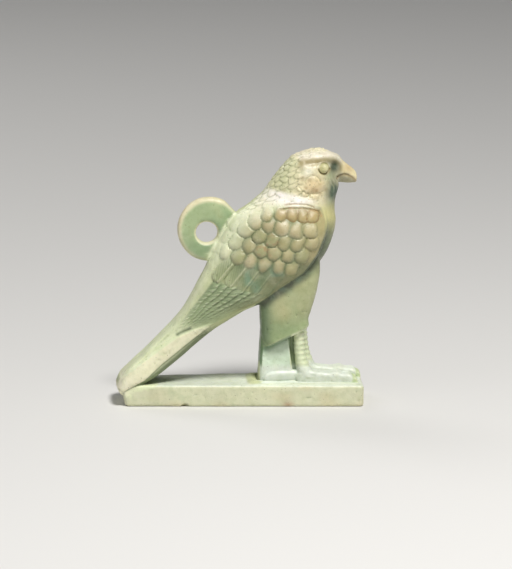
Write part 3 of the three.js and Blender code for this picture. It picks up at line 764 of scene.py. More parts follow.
def groove(x, z, points, width, depth):
    distance, reach = line_distance(x, z, points)
    ends = smoothstep(0, 0.08, reach) * smoothstep(1, 0.92, reach)
    return -depth * np.exp(-((distance / width) ** 2)) * (0.3 + 0.7 * ends)


def head_relief(x, z, y):
    """Brow, socket, lids, cheek, mouth and throat, in hundredths of the figure's height."""
    brow, reach = line_distance(x, z, BROW_LINE)
    ends = smoothstep(0, 0.12, reach) * smoothstep(1, 0.9, reach)
    h = BROW_RISE * np.exp(-((brow / 1.35) ** 2)) * (0.35 + 0.65 * ends)
    under, _ = line_distance(x, z, [(px, pz - 2.9) for px, pz in BROW_LINE])
    h -= 0.3 * np.exp(-((under / 1.1) ** 2)) * ends
    h -= 0.36 * bell(x, z, 39.2, 92.9, 2.8, 3.8)
    ring = np.hypot(x - EYE[0], z - EYE[1])
    h += 0.13 * np.exp(-(((ring - 2.75) / 0.5) ** 2)) * smoothstep(-0.4, 0.6, z - EYE[1])
    h -= 0.26 * np.exp(-(((ring - 2.35) / 0.5) ** 2)) * smoothstep(0.4, -0.6, z - EYE[1])
    h -= 0.12 * np.exp(-(((ring - 2.2) / 0.3) ** 2))
    cheek = np.hypot(x - CHEEK[0], z - CHEEK[1])
    h += 0.2 * np.exp(-((cheek / CHEEK[2]) ** 3))
    h += 0.17 * value_noise(np.stack([x, 0 * x, z], axis=-1), 2.1, 45) * smoothstep(2.4, 3.4, ring)
    h -= 0.17 * np.exp(-(((cheek - CHEEK[2] - 0.5) / 0.42) ** 2)) * smoothstep(-0.5, 1, z - CHEEK[1])
    h -= 0.12 * bell(x, z, 31.2, 81.9, 2.6, 1.0)
    h += groove(x, z, MOUTH_LINE, 0.5, 0.3)
    jaw_top = np.interp(x, [px for px, _ in MOUTH_LINE], [pz for _, pz in MOUTH_LINE])
    h -= 0.24 * smoothstep(0.1, 0.9, jaw_top - z) * smoothstep(41.0, 42.4, x) * (z > 84.6)
    throat = bell(x, z, 38.8, 84.6, 2.6, 6.4)
    h += 0.06 * throat * np.sin(2 * math.pi * (x + 0.22 * (z - 85)) / 1.4 + 2 * value_noise(np.stack([x, 0 * x, z], axis=-1), 3.0, 47))
    keep = smoothstep(1.9, 2.25, ring)
    return h * keep * smoothstep(0.4, 1.2, np.abs(y))


def shoulder_relief(x, z):
    """The two ledges above the scales, and the edge of the head's feathers over the cape."""
    h = groove(x, z, UPPER_LEDGE_LINE, 0.34, 0.16)
    h += groove(x, z, LEDGE_LINE, 0.36, 0.28)
    h += groove(x, z, HEAD_EDGE_LINE, 0.34, 0.16)
    return h


def mesh_from(pieces):
    points, faces, start = [], [], 0
    for piece_points, piece_faces in pieces:
        points.append(piece_points)
        faces += [tuple(i + start for i in face) for face in piece_faces]
        start += len(piece_points)
    mesh = bpy.data.meshes.new("form")
    mesh.from_pydata(np.concatenate(points).tolist(), [], faces)
    mesh.validate()
    return mesh


def outward(piece):
    """Turns a closed form's faces so that they all point out."""
    import bmesh

    points, faces = piece
    form = bmesh.new()
    verts = [form.verts.new(point) for point in points]
    for face in faces:
        form.faces.new([verts[i] for i in face])
    bmesh.ops.recalc_face_normals(form, faces=form.faces)
    form.verts.index_update()
    turned = [tuple(vert.index for vert in face.verts) for face in form.faces]
    form.free()
    return points, turned


def apply_modifiers(obj):
    depsgraph = bpy.context.evaluated_depsgraph_get()
    result = bpy.data.meshes.new_from_object(obj.evaluated_get(depsgraph))
    old = obj.data
    obj.modifiers.clear()
    obj.data = result
    bpy.data.meshes.remove(old)


def coordinates(mesh):
    values = np.empty(len(mesh.vertices) * 3, np.float32)
    mesh.vertices.foreach_get("co", values)
    return values.reshape(-1, 3).astype(float)


def normals_of(mesh):
    values = np.empty(len(mesh.vertices) * 3, np.float32)
    mesh.vertices.foreach_get("normal", values)
    return values.reshape(-1, 3).astype(float)


def edges_of(mesh):
    values = np.empty(len(mesh.edges) * 2, np.int32)
    mesh.edges.foreach_get("vertices", values)
    return values.reshape(-1, 2)


def spread(values, edges, rounds):
    """Averages values with their neighbours along the edges."""
    a, b = edges[:, 0], edges[:, 1]
    count = np.bincount(a, minlength=len(values)) + np.bincount(b, minlength=len(values))
    for _ in range(rounds):
        total = np.bincount(a, values[b], len(values)) + np.bincount(b, values[a], len(values))
        values = 0.5 * values + 0.5 * total / np.maximum(count, 1)
    return values


def read_skin(points):
    """The figure's own coordinates for every point of the skin."""
    x, z = (points[:, 0] - FIGURE_X) / UNIT, (points[:, 2] - PLINTH_HEIGHT) / UNIT
    y = points[:, 1]
    station, along = section_place(x, z)
    rows = smooth_rows(BODY_SECTIONS, 240)
    index = np.clip(station, 0, 1) * (len(rows) - 1)
    half = np.interp(index, range(len(rows)), rows[:, 4]) * UNIT
    boxiness = np.interp(index, range(len(rows)), rows[:, 5])
    across = np.clip(2 * along - 1, -1, 1)
    expected = half * np.maximum(1 - np.abs(across) ** boxiness, 0) ** (1 / boxiness)
    spine = smooth_rows(BODY_SECTIONS, 240)[:, :2] * UNIT
    lengths = np.concatenate([[0], np.cumsum(np.hypot(*np.diff(spine, axis=0).T))])
    down = np.interp(index, range(len(rows)), lengths)
    angle = np.arctan2(np.abs(y) / np.maximum(half, 0.1), 1 - 2 * along)
    girth = angle * (half + 0.6)
    on_tail_top = smoothstep(0.16, 0.08, along) * smoothstep(-16, -22, x)
    on_side = smoothstep(-0.9, -0.35, np.abs(y) - expected)
    on_body = np.maximum(on_side, on_tail_top) * (station >= 0)
    on_body *= smoothstep(-0.05, -0.01, along)
    return {"x": x, "y": y, "z": z, "station": station, "along": along, "down": down, "girth": girth, "on_body": on_body}


def carve(points, normals):
    """The carved relief: height over the smooth form, and the feather fields for the finish."""
    s = read_skin(points)
    x, y, z, on_body = s["x"], s["y"], s["z"], s["on_body"]
    sideways = smoothstep(0.15, 0.5, np.abs(normals[:, 1]))

    head = smoothstep(79.5, 82.0, z + 0.25 * (x - 24)) * (x > 8)
    scales, scale_depth, scale_row, scale_tone, scale_highlight = scale_relief(x, z)
    coverts, covert_barb, covert_mask, shafts = covert_relief(x, z)
    primaries, primary_barb, primary_mask, primary_saw = primary_relief(x, z)
    in_scales = smoothstep(0.02, 0.12, scales)
    on_side = on_body * sideways
    scales *= on_side
    coverts *= on_side * (1 - in_scales)
    in_coverts = smoothstep(0.01, 0.06, coverts)
    primaries *= on_side * (1 - in_coverts)

    tail, strip = tail_relief(x, z, sideways)
    tail *= on_body * smoothstep(30, 24, z)

    line_x = np.interp(z, [45, 50, 55, 60, 65, 70, 74, 77.5, 82, 100], [-14, -9.5, -8.5, -6.5, -2.5, 2.5, 7.5, 12, 20, 24])
    back_zone = smoothstep(1.0, -1.0, x - line_x) * smoothstep(40, 46, z) * (1 - head)
    nape, nape_shade = mantle_relief(s["down"], s["girth"], NAPE_FEATHER[0], NAPE_FEATHER[1])
    crown, crown_shade = mantle_relief(s["down"], s["girth"], HEAD_FEATHER[0], HEAD_FEATHER[1])
    face_line = np.interp(z, [80, 84, 88, 92, 95, 97, 100], [30.0, 26.0, 26.0, 25.5, 25.0, 31.0, 40.0])
    head_zone = head * smoothstep(0.8, -0.8, x - face_line)
    upper = smoothstep(58, 70, z)
    mantle = (NAPE_RISE * nape * back_zone * (0.35 + 0.65 * upper) + HEAD_RISE * crown * head_zone) * on_body * (1 - in_scales)
    feather_shade = (nape_shade * back_zone * (0.3 + 0.7 * upper) + crown_shade * head_zone) * on_body * (1 - in_scales)

    face = head_relief(x, z, y) * smoothstep(79, 81, z) * (x > 24) * smoothstep(0.1, 0.35, np.abs(normals[:, 1]))
    shoulder = shoulder_relief(x, z) * on_side

    height = scales + np.maximum(coverts, 0) + primaries + tail + mantle + face + shoulder
    height += sole_relief(points, normals)
    height += THROAT_FULLNESS * bell(x, z, 40.6, 83.6, 3.2, 3.0) * smoothstep(0.1, 0.8, normals[:, 0])
    height -= CROWN_FALL * smoothstep(96.0, 99.0, z) * smoothstep(0.2, 0.9, normals[:, 2]) * (x > 20)

    pits = value_noise(points, 0.55, 3)
    height -= 0.1 * smoothstep(0.72, 0.9, pits)
    height += 0.03 * value_noise(points, 1.6, 5) + 0.06 * value_noise(points, 4.0, 6)
    height -= chips(points)
    on_coverts = covert_mask * (coverts > 0.01)
    barb = np.where(on_coverts > 0.02, covert_barb, primary_barb)
    barb_mask = np.maximum(on_coverts, primary_mask * 0.7 * (primaries > 0.003)) * on_side
    fields = {
        "skin": s,
        "barb": barb,
        "barb_mask": barb_mask,
        "scale_depth": scale_depth * on_side,
        "scale_row": scale_row,
        "scale_tone": scale_tone,
        "scale_highlight": scale_highlight * on_side,
        "shafts": shafts * in_coverts * on_side,
        "in_coverts": in_coverts * on_side,
        "in_primaries": primary_mask * on_side * (1 - in_coverts),
        "primary_saw": primary_saw,
        "feather_shade": feather_shade,
        "head_zone": head_zone,
        "head": head,
        "strip": strip * on_body,
    }
    return height, fields


CHIPS = ((-10.3, 1.5, 0.62), (-16.0, 0.7, 0.22), (-4.6, 0.7, 0.2), (-2.2, 0.5, 0.2), (-1.0, 0.6, 0.16))


def chips(points):
    """Small losses along the plinth's lower near edge."""
    x, y, z = points.T
    edge_y = -np.interp(x, [PLINTH_FRONT_X - PLINTH_LENGTH, PLINTH_FRONT_X], [PLINTH_BACK_WIDTH / 2, PLINTH_FRONT_WIDTH / 2])
    depth = np.zeros(len(points))
    for cx, length, size in CHIPS:
        reach = np.sqrt(((x - cx) / (length / 2)) ** 2 + (z / size) ** 2 + ((y - edge_y) / (1.6 * size)) ** 2)
        depth = np.maximum(depth, 0.8 * size * smoothstep(1.25, 0.4, reach))
    return depth


def base_form():
    pieces = [body(), plinth(), *pillar(), loop(), beak()]
    for side in SIDES:
        pieces += [thigh(side), lower_leg(side), *foot(side)]
        pieces.append(ball(EYE[0], EYE[1], EYE[2], 0.75, side, -0.08))
    return mesh_from([outward(piece) for piece in pieces])


def make_falcon():
    mesh = base_form()
    obj = bpy.data.objects.new("falcon", mesh)
    bpy.context.scene.collection.objects.link(obj)
    remesh = obj.modifiers.new("merge", "REMESH")
    remesh.mode = "VOXEL"
    remesh.voxel_size = VOXEL
    apply_modifiers(obj)
    soften = obj.modifiers.new("soften", "SMOOTH")
    soften.factor = 0.5
    soften.iterations = 4
    apply_modifiers(obj)

    points = coordinates(obj.data)
    normals = normals_of(obj.data)
    height, _ = carve(points, normals)
    points += normals * height[:, None]
    obj.data.vertices.foreach_set("co", points.astype(np.float32).ravel())
    obj.data.update()

    triangles = 2 * len(obj.data.polygons)
    thin = obj.modifiers.new("thin", "DECIMATE")
    thin.ratio = min(1, TRIANGLE_LIMIT / triangles)
    apply_modifiers(obj)
    return obj


# Colours of the glaze, as seen in even light, and colours laid as painted shade or painted light where marked below
def colour(red, green, blue):
    srgb = np.array([red, green, blue]) / 255
    return np.where(srgb <= 0.04045, srgb / 12.92, ((srgb + 0.055) / 1.055) ** 2.4)


CREAM = colour(240, 235, 208)
PINK = colour(255, 247, 240)
WHITE = colour(244, 246, 236)
TAN = colour(214, 184, 130)
RUST = colour(164, 118, 62)
MOSS = colour(86, 104, 70)
TURQUOISE = colour(130, 168, 146)
BACK_GREEN = colour(198, 204, 158)
BACK_LIGHT = colour(238, 242, 208)
OLIVE = colour(146, 148, 110)
OLIVE_DEEP = colour(122, 134, 98)
LOWER_BAND_SHADED = colour(142, 144, 106)
BAND_LIGHT = colour(176, 190, 146)
GROOVE_GREEN = colour(128, 136, 100)
SCALE_TAN = colour(177, 166, 120)
SCALE_ROSE = colour(186, 168, 134)
SCALE_GREEN = colour(158, 164, 120)
SHOULDER_BROWN = colour(182, 158, 106)
RUSTY_ROSE = colour(172, 128, 92)
COVERT_GREEN = colour(112, 128, 92)
SHAFT_PALE = colour(188, 192, 146)
PRIMARY_DARK = colour(112, 132, 98)
PRIMARY_PALE = colour(164, 180, 138)
BARB_DARK = colour(98, 112, 78)
NECK_YELLOW = colour(208, 200, 142)
BREAST_SHADE = colour(96, 106, 80)
THIGH_OLIVE = colour(178, 182, 138)
THIGH_GREEN = colour(146, 166, 120)
THIGH_REAR_GLAZE_AND_SHADE = colour(110, 130, 98)
HEM_HIGHLIGHT = colour(190, 204, 154)
RIM_SHADE = colour(92, 100, 80)
HEAD_CREAM = colour(230, 221, 184)
HEAD_GREEN = colour(204, 206, 164)
CROWN_CREAM = colour(222, 212, 178)
BROW_OLIVE = colour(150, 132, 84)
CHEEK_TAN = colour(232, 206, 156)
CHEEK_GREEN = colour(178, 188, 146)
SOCKET_SHADE = colour(74, 84, 66)
THROAT_DARK = colour(78, 96, 78)
BEAK_TAN = colour(232, 218, 172)
JAW_GREY = colour(160, 156, 128)
MOUTH_BROWN = colour(112, 86, 50)
EYE_OLIVE = colour(206, 200, 146)
TAIL_PALE = colour(230, 236, 196)
TAIL_UNDERSIDE_SHADE = colour(72, 90, 54)
STRIP_CREAM = colour(236, 232, 200)
PLINTH_FRONT = colour(216, 217, 184)
PLINTH_TOP_LIT = colour(226, 232, 214)
PILLAR_PALE = colour(214, 230, 206)
PILLAR_SHADE = colour(104, 132, 98)
PILLAR_DEEP_SHADE = colour(96, 122, 86)
LEG_PALE = colour(218, 226, 190)
FOOT_WHITE = colour(222, 228, 216)
CLAW_GREEN = colour(188, 204, 140)
LOOP_GREEN = colour(156, 178, 134)
LOOP_DEEP = colour(138, 160, 122)
RIM_CREAM = colour(238, 231, 198)
CAVITY_POOL_AND_SHADE = 0.5


def paint(base, tint, amount):
    """Lays a colour, or a colour for each place, over the base by a share from 0 to 1."""
    amount = np.clip(amount, 0, 1)[:, None]
    return base * (1 - amount) + tint * amount


def loop_colours(s):
    """How far each place belongs to the loop, and the loop's colours: green face, cream rim, pale bore edge."""
    dx, dz = (s["x"] - LOOP_MIDDLE[0]) * UNIT, (s["z"] - LOOP_MIDDLE[1]) * UNIT
    r = np.hypot(dx, dz)
    clear = np.where(s["station"] < 0, 1, smoothstep(0.0, -0.04, s["along"]))
    zone = smoothstep(6.7, 6.3, r) * smoothstep(2.0, 1.6, np.abs(s["y"])) * clear
    face = np.repeat(LOOP_GREEN[None, :], len(r), axis=0)
    face = paint(face, LOOP_DEEP, 0.75 * smoothstep(1.5, -4.5, dz - 0.25 * dx))
    mottled = value_noise(np.stack([s["x"], 3 * s["y"], s["z"]], axis=1), 4.0, 51)
    face = paint(face, BACK_GREEN, 0.5 * smoothstep(0.1, 0.8, mottled) + 0.25 * smoothstep(-1, 4, dz - dx))
    upper_left = 0.45 + 0.55 * smoothstep(-0.6, 0.9, (0.78 * dz - 0.62 * dx) / np.maximum(r, 0.1))
    # The rim is cream all round; a painted highlight makes it stronger towards the upper left.
    face = paint(face, RIM_CREAM, 0.85 * smoothstep(4.9, 5.8, r) * upper_left)
    face = paint(face, TAN, 0.25 * smoothstep(5.0, 5.8, r) * upper_left**2)
    bore_offset = LOOP_BORE_OFFSET / math.sqrt(2)
    to_bore = np.hypot(dx + bore_offset, dz + bore_offset)
    face = paint(face, RIM_CREAM, 0.75 * smoothstep(2.5, 2.15, to_bore))
    return zone, face


def wing_colours(base, fields):
    """The wing's scales with a painted highlight on each top, long feathers, smooth lower band darkened partly as
    painted shade, and rim.
    """
    s = fields["skin"]
    x, z, on_body = s["x"], s["z"], s["on_body"]
    deep = inside(x, z, WING_ZONE)
    within = smoothstep(-0.3, 0.5, deep) * on_body
    front_part = smoothstep(23, 29, x) * smoothstep(50, 56, z) * smoothstep(77, 74, z)
    base = paint(base, BACK_GREEN, within * smoothstep(20, 26, z) * 0.95 * (1 - front_part))
    field = smoothstep(76.5, 74.0, z - 0.12 * (x - 24)) * smoothstep(40, 46, z + 0.2 * x)
    field = field * smoothstep(-1.5, 5.0, x + 8.7 - 0.6 * (z - 54))
    base = paint(base, OLIVE, within * field)
    base = paint(base, OLIVE_DEEP, 0.8 * within * bell(x, z, 12, 48, 15, 5, 0.35))
    # The smooth lower band is laid olive and darker: partly its glaze colour, partly painted shade where the wing turns
    # under.
    band = within * smoothstep(8.0, 3.4, deep) * smoothstep(70, 58, z) * smoothstep(-12, 2, x)
    base = paint(base, LOWER_BAND_SHADED, 0.85 * band)
    base = paint(base, SCALE_TAN, 0.9 * within * front_part)
    base = paint(base, BAND_LIGHT, 0.8 * within * smoothstep(7, 2, deep) * smoothstep(2, -9, x) * smoothstep(36, 30, z - 0.2 * x))

    depth, row, tone = fields["scale_depth"], fields["scale_row"], fields["scale_tone"]
    core = smoothstep(0.1, 0.95, depth) ** 1.3
    base = paint(base, GROOVE_GREEN, 0.4 * smoothstep(0.0, 0.3, depth) * (1 - core))
    base = paint(base, SCALE_TAN, 0.85 * core)
    base = paint(base, SCALE_ROSE, 0.5 * core * (row >= 1) * smoothstep(0.4, -0.8, tone))
    base = paint(base, SCALE_GREEN, 0.6 * core * smoothstep(0.0, 1.2, tone))
    # Painted highlight on the upper middle of each scale.
    base = paint(base, STRIP_CREAM, 0.24 * fields["scale_highlight"] * (row >= 1) * smoothstep(1.4, -0.6, tone))
    base = paint(base, SHOULDER_BROWN, 0.8 * core * (row == 0) * smoothstep(8, 19, x))
    base = paint(base, RUST, 0.55 * (row == 0) * smoothstep(0.75, 0.2, depth) * smoothstep(15, 20, x) * (depth > 0))
    for cx, cz in RUSTY_SCALES:
        rust = smoothstep(-0.1, 0.5, value_noise(np.stack([x, s["y"], z], axis=1), 1.1, 31))
        base = paint(base, RUSTY_ROSE, 0.6 * rust * bell(x, z, cx, cz, 3.2, 3.2))

    coverts = fields["in_coverts"]
    base = paint(base, COVERT_GREEN, 0.85 * coverts)
    base = paint(base, BACK_GREEN, 0.5 * coverts * smoothstep(2, -8, x + 0.5 * (z - 50)))
    base = paint(base, SHAFT_PALE, 0.7 * fields["shafts"])
    primaries = fields["in_primaries"]
    base = paint(base, PRIMARY_DARK, 0.75 * primaries * smoothstep(16, 34, z))
    base = paint(base, PRIMARY_PALE, 0.85 * primaries * smoothstep(0.1, 0.7, fields["primary_saw"]))
    beside = x + 8.7 - 0.6 * (z - 54)
    base = paint(base, BACK_LIGHT, 0.7 * within * smoothstep(3.0, -3.0, beside) * smoothstep(20, 30, z))
    upper_back = within * smoothstep(9.0, -1.0, beside) * smoothstep(48, 58, z) * smoothstep(80, 74, z)
    return paint(base, BACK_LIGHT, 0.6 * upper_back)


def breast_colours(base, s):
    """The neck's front, the breast and the thighs, with the shade under the wing's rim."""
    x, z = s["x"], s["z"]
    deep = inside(x, z, WING_ZONE)
    hem_z = np.interp(x, [px for px, _ in HEM_LINE[1:]], [pz for _, pz in HEM_LINE[1:]])
    outside = smoothstep(2.0, 1.0, deep) * smoothstep(-0.5, 0.5, z - hem_z) * (x > 6)
    base = paint(base, THIGH_OLIVE, outside * smoothstep(62, 52, z))
    base = paint(base, NECK_YELLOW, 0.85 * outside * smoothstep(52, 72, z) * smoothstep(88, 78, z))
    base = paint(base, THIGH_GREEN, 0.8 * outside * smoothstep(34, 22, z))
    warm = smoothstep(0.0, 0.7, value_noise(np.stack([x, s["y"], z], axis=1), 7.0, 49))
    base = paint(base, TAN, 0.18 * outside * warm * smoothstep(50, 40, z) * smoothstep(12, 20, x))
    # The thigh's rear edge is laid darker: partly pooled glaze, partly painted shade.
    base = paint(base, THIGH_REAR_GLAZE_AND_SHADE, 0.9 * outside * smoothstep(14.5, 9.5, x - 0.02 * (z - 20)) * (z < 50))
    # Painted highlight: a pale line along the thigh's hem.
    hem, _ = line_distance(x, z, HEM_LINE)
    base = paint(base, HEM_HIGHLIGHT, 0.2 * outside * np.exp(-((hem / 0.5) ** 2)))
    shade = outside * smoothstep(-4.8, -1.6, deep) * smoothstep(72, 60, z) * smoothstep(4, 9, x)
    base = paint(base, RIM_SHADE, 0.95 * shade)
    front_shade = outside * smoothstep(74, 58, z) * smoothstep(44, 54, z)
    return paint(base, BREAST_SHADE, 0.85 * front_shade)


def head_colours(base, fields):
    """The head, its markings, the beak and the throat, with painted shade under the brow, in the eye socket and below
    the eye, and a painted highlight on the upper lid.
    """
    s = fields["skin"]
    x, z = s["x"], s["z"]
    head = fields["head"]
    base = paint(base, HEAD_CREAM, head)
    base = paint(base, HEAD_GREEN, 0.8 * head * smoothstep(26, 18, x + 0.25 * (90 - z)))
    base = paint(base, CROWN_CREAM, 0.85 * head * smoothstep(95, 97.5, z))
    brow, _ = line_distance(x, z, BROW_LINE)
    base = paint(base, PINK, 0.5 * head * np.exp(-((brow / 1.3) ** 2)))
    # Painted shade under the brow ridge.
    under, _ = line_distance(x, z, [(px, pz - 2.4) for px, pz in BROW_LINE])
    base = paint(base, BROW_OLIVE, 0.85 * head * np.exp(-((under / 1.6) ** 2)))
    base = paint(base, WHITE, 0.5 * bell(x, z, 28.6, 91.0, 2.6, 2.4))
    spots = smoothstep(0.0, 0.7, value_noise(np.stack([x, s["y"], z], axis=1), 1.5, 46))
    base = paint(base, CHEEK_TAN, 0.75 * bell(x, z, 31.0, 85.6, 4.4, 3.8))
    base = paint(base, RUST, 0.3 * spots * bell(x, z, 31.4, 85.4, 4.6, 4.6))
    base = paint(base, BROW_OLIVE, 0.35 * head * spots * smoothstep(22, 27, x) * smoothstep(42, 36, x))
    base = paint(base, RUST, 0.45 * bell(x, z, 31.5, 82.8, 3.2, 1.7))
    base = paint(base, CHEEK_GREEN, 0.8 * bell(x, z, 37.6, 89.0, 2.4, 3.0))
    # Painted shade in the hollow of the eye socket.
    base = paint(base, SOCKET_SHADE, 1.1 * bell(x, z, 39.5, 92.2, 2.9, 2.9))
    streaks = 0.85 + 0.25 * value_noise(np.stack([3 * x, s["y"], 0.5 * z], axis=1), 2.6, 48)
    base = paint(base, THROAT_DARK, 1.35 * streaks * bell(x, z, 39.7, 81.2, 3.6, 5.6))
    upper = smoothstep(42.0, 44.0, x) * (z > 82)
    base = paint(base, BEAK_TAN, 0.9 * upper)
    base = paint(base, RUST, 0.4 * upper * bell(x, z, 46.0, 91.2, 2.2, 1.6))
    jaw_top = np.interp(x, [px for px, _ in MOUTH_LINE], [pz for _, pz in MOUTH_LINE])
    jaw = smoothstep(0.2, 0.9, jaw_top - z) * smoothstep(41, 42.5, x) * (z > 83)
    base = paint(base, JAW_GREY, 0.85 * jaw)
    mouth, _ = line_distance(x, z, MOUTH_LINE)
    base = paint(base, MOUTH_BROWN, 0.75 * np.exp(-((mouth / 0.55) ** 2)) * (x > 40.5) * (z > 83))
    ring = np.hypot(x - EYE[0], z - EYE[1])
    # Painted shade on the lower part of the ring round the eye, and a painted highlight on its upper lid.
    base = paint(base, BROW_OLIVE, 0.85 * head * np.exp(-(((ring - 2.4) / 0.5) ** 2)) * smoothstep(1.0, -0.8, z - EYE[1]))
    base = paint(base, WHITE, 0.15 * head * np.exp(-(((ring - 2.7) / 0.45) ** 2)) * smoothstep(0.2, 1.4, z - EYE[1]))
    return paint(base, EYE_OLIVE, head * smoothstep(2.1, 1.8, ring))


def tail_colours(base, fields):
    """The tail's pale top, the cream strip along its side and its shaded underside."""
    s, normals_z = fields["skin"], fields["up"]
    x, z, on_body = s["x"], s["z"], s["on_body"]
    zone = smoothstep(28, 22, z + 0.15 * (x + 20)) * on_body * (x < 4) * smoothstep(-7, -5, z)
    base = paint(base, TAIL_PALE, 0.95 * zone)
    # Painted shade on the tail's downward-facing underside.
    base = paint(base, TAIL_UNDERSIDE_SHADE, 0.8 * zone * smoothstep(0.0, -0.55, normals_z))
    base = paint(base, STRIP_CREAM, 0.95 * zone * fields["strip"])
    # Painted light: the tail's tip, facing down and back, is laid cream.
    base = paint(base, CREAM, 0.9 * zone * bell(x, z, -51.5, -0.5, 4.5, 6))
    crevice, _ = line_distance(x, z, CREVICE_LINE)
    return paint(base, MOSS, 0.8 * on_body * np.exp(-((crevice / 0.6) ** 2)))


def base_colours(base, s, normals):
    """The plinth, the pillar, the lower legs and the feet."""
    x, y, z = s["x"], s["y"], s["z"]
    plinth_zone = smoothstep(0.5, -0.1, z) * (1 - s["on_body"] * (x < -38))
    base = paint(base, PLINTH_FRONT, plinth_zone)
    warm = smoothstep(-0.2, 0.8, value_noise(np.stack([x, y, 2 * z], axis=1), 9.0, 50))
    base = paint(base, TAN, 0.22 * plinth_zone * warm)
    # Painted light: the plinth's upward faces are laid lighter.
    base = paint(base, PLINTH_TOP_LIT, plinth_zone * smoothstep(0.4, 0.9, normals[:, 2]))
    hem_z = np.interp(x, [px for px, _ in HEM_LINE[1:]], [pz for _, pz in HEM_LINE[1:]])
    legs = (x > 8) * smoothstep(0.7, -0.3, z - hem_z) * smoothstep(0.2, 0.8, z)
    pillar_zone = legs * smoothstep(21.2, 20.8, x) * (z < 26)
    base = paint(base, PILLAR_PALE, pillar_zone)
    base = paint(base, PILLAR_SHADE, 0.9 * pillar_zone * smoothstep(-4.2, -1.2, z - hem_z))
    # Painted shade on the pillar's rear-facing faces.
    base = paint(base, PILLAR_DEEP_SHADE, 0.9 * pillar_zone * smoothstep(-0.25, -0.6, normals[:, 0]))
    leg_zone = legs * smoothstep(20.8, 22.0, x)
    base = paint(base, LEG_PALE, leg_zone)
    web = legs * smoothstep(20.4, 21.4, x) * smoothstep(23.6, 22.8, x) * smoothstep(2.75, 2.45, np.abs(y)) * (z > 4)
    # Painted shade in the groove web behind the legs.
    base = paint(base, PILLAR_DEEP_SHADE, 0.6 * web)
    feet = (x > 8) * smoothstep(8.5, 6.0, z) * smoothstep(0.0, 0.6, z)
    base = paint(base, FOOT_WHITE, 0.9 * feet)
    base = paint(base, CLAW_GREEN, 0.75 * feet * smoothstep(46.8, 47.8, x - FAR_LEG_ADVANCE / UNIT * (y > 0)))
    spot = bell(x, z, (PINK_SPOT - FIGURE_X) / UNIT, -8.1, 2.0, 1.4) * smoothstep(-0.3, -0.7, normals[:, 1])
    return paint(base, RUSTY_ROSE, 0.7 * spot)


def tint_skin(obj):
    """Colours the skin by its regions and by how deep each place lies in the carving: pooled glaze and painted shade in
    the hollows, painted highlight on the crests.
    """
    mesh = obj.data
    points, normals, edges = coordinates(mesh), normals_of(mesh), edges_of(mesh)
    _, fields = carve(points, normals)
    fields["up"] = normals[:, 2]
    s = fields["skin"]
    x, z = s["x"], s["z"]

    a, b = edges[:, 0], edges[:, 1]
    offset = points[b] - points[a]
    bend_a = np.einsum("ij,ij->i", offset, normals[a])
    bend_b = -np.einsum("ij,ij->i", offset, normals[b])
    length2 = np.maximum(np.einsum("ij,ij->i", offset, offset), 1e-8)
    weight = np.bincount(a, minlength=len(points)) + np.bincount(b, minlength=len(points))
    bend = np.bincount(a, bend_a / length2, len(points)) + np.bincount(b, bend_b / length2, len(points))
    hollow = spread(bend / np.maximum(weight, 1), edges, 3)
    cavity = smoothstep(0.1, 1.2, hollow)
    crest_highlight = smoothstep(0.1, 1.2, -hollow)
    cloud = value_noise(points, 3.2, 11)
    fine = value_noise(points, 0.9, 12)

    base = np.repeat(BACK_GREEN[None, :], len(points), axis=0)
    base = base_colours(base, s, normals)
    base = breast_colours(base, s)
    base = wing_colours(base, fields)
    cape = s["on_body"] * bell(x, z, 22, 80.2, 11, 3.6, -0.05)
    base = paint(base, CREAM, 0.8 * s["on_body"] * bell(x, z, 9, 77.5, 9, 3.2, 0.7))
    base = paint(base, PINK, 1.35 * cape)
    upper_ledge, _ = line_distance(x, z, UPPER_LEDGE_LINE)
    base = paint(base, RUST, 0.5 * s["on_body"] * np.exp(-((upper_ledge / 0.4) ** 2)))
    ledge, _ = line_distance(x, z, LEDGE_LINE)
    base = paint(base, RUST, 0.6 * s["on_body"] * np.exp(-((ledge / 0.38) ** 2)) * smoothstep(14, 19, x))
    base = head_colours(base, fields)
    base = tail_colours(base, fields)
    loop_zone, loop_face = loop_colours(s)
    base = paint(base, loop_face, loop_zone)

    base = base * (1 - 0.28 * fields["feather_shade"][:, None] * np.array([0.9, 0.85, 1.0]))
    dots = smoothstep(0.3, 0.6, value_noise(points, 0.3, 21)) * np.clip(cape + 0.9 * bell(x, z, 31, 85, 6, 6), 0, 1)
    base = paint(base, BROW_OLIVE, 0.55 * dots)
    wet = s["on_body"] * bell(x, z, 8, 46, 15, 7) * smoothstep(0.15, 0.6, value_noise(points, 1.6, 14))
    base = paint(base, TURQUOISE, 0.5 * wet)
    # Hollows are darkened, keeping more green: partly glaze pooled in them, partly painted shade.
    pooled_glaze_and_shade = np.clip(CAVITY_POOL_AND_SHADE * cavity * (0.85 + 0.3 * fine), 0, 1)[:, None]
    base = base * (1 - pooled_glaze_and_shade * np.array([0.9, 0.72, 0.95]))
    calm = 1 - s["on_body"] * np.exp(-((inside(x, z, WING_ZONE) / 3.5) ** 4))
    # Painted highlight: raised crests are laid cream, held back near the wing's edge.
    base = paint(base, CREAM, 0.36 * crest_highlight * calm)
    base = base * (1 + 0.07 * cloud + 0.05 * fine + 0.05 * value_noise(points, 7.0, 15))[:, None]

    rgba = np.concatenate([np.clip(base, 0, 1), np.ones((len(points), 1))], axis=1)
    tint = mesh.attributes.new("tint", "FLOAT_COLOR", "POINT")
    tint.data.foreach_set("color", rgba.astype(np.float32).ravel())
    matte = cavity + 2.5 * bell(x, z, 39.9, 92.4, 3.4, 3.6) * (np.abs(s["y"]) > 0.5)
    for name, values in (("cavity", matte), ("barb", fields["barb"]), ("barb_mask", fields["barb_mask"])):
        layer = mesh.attributes.new(name, "FLOAT", "POINT")
        layer.data.foreach_set("value", values.astype(np.float32))


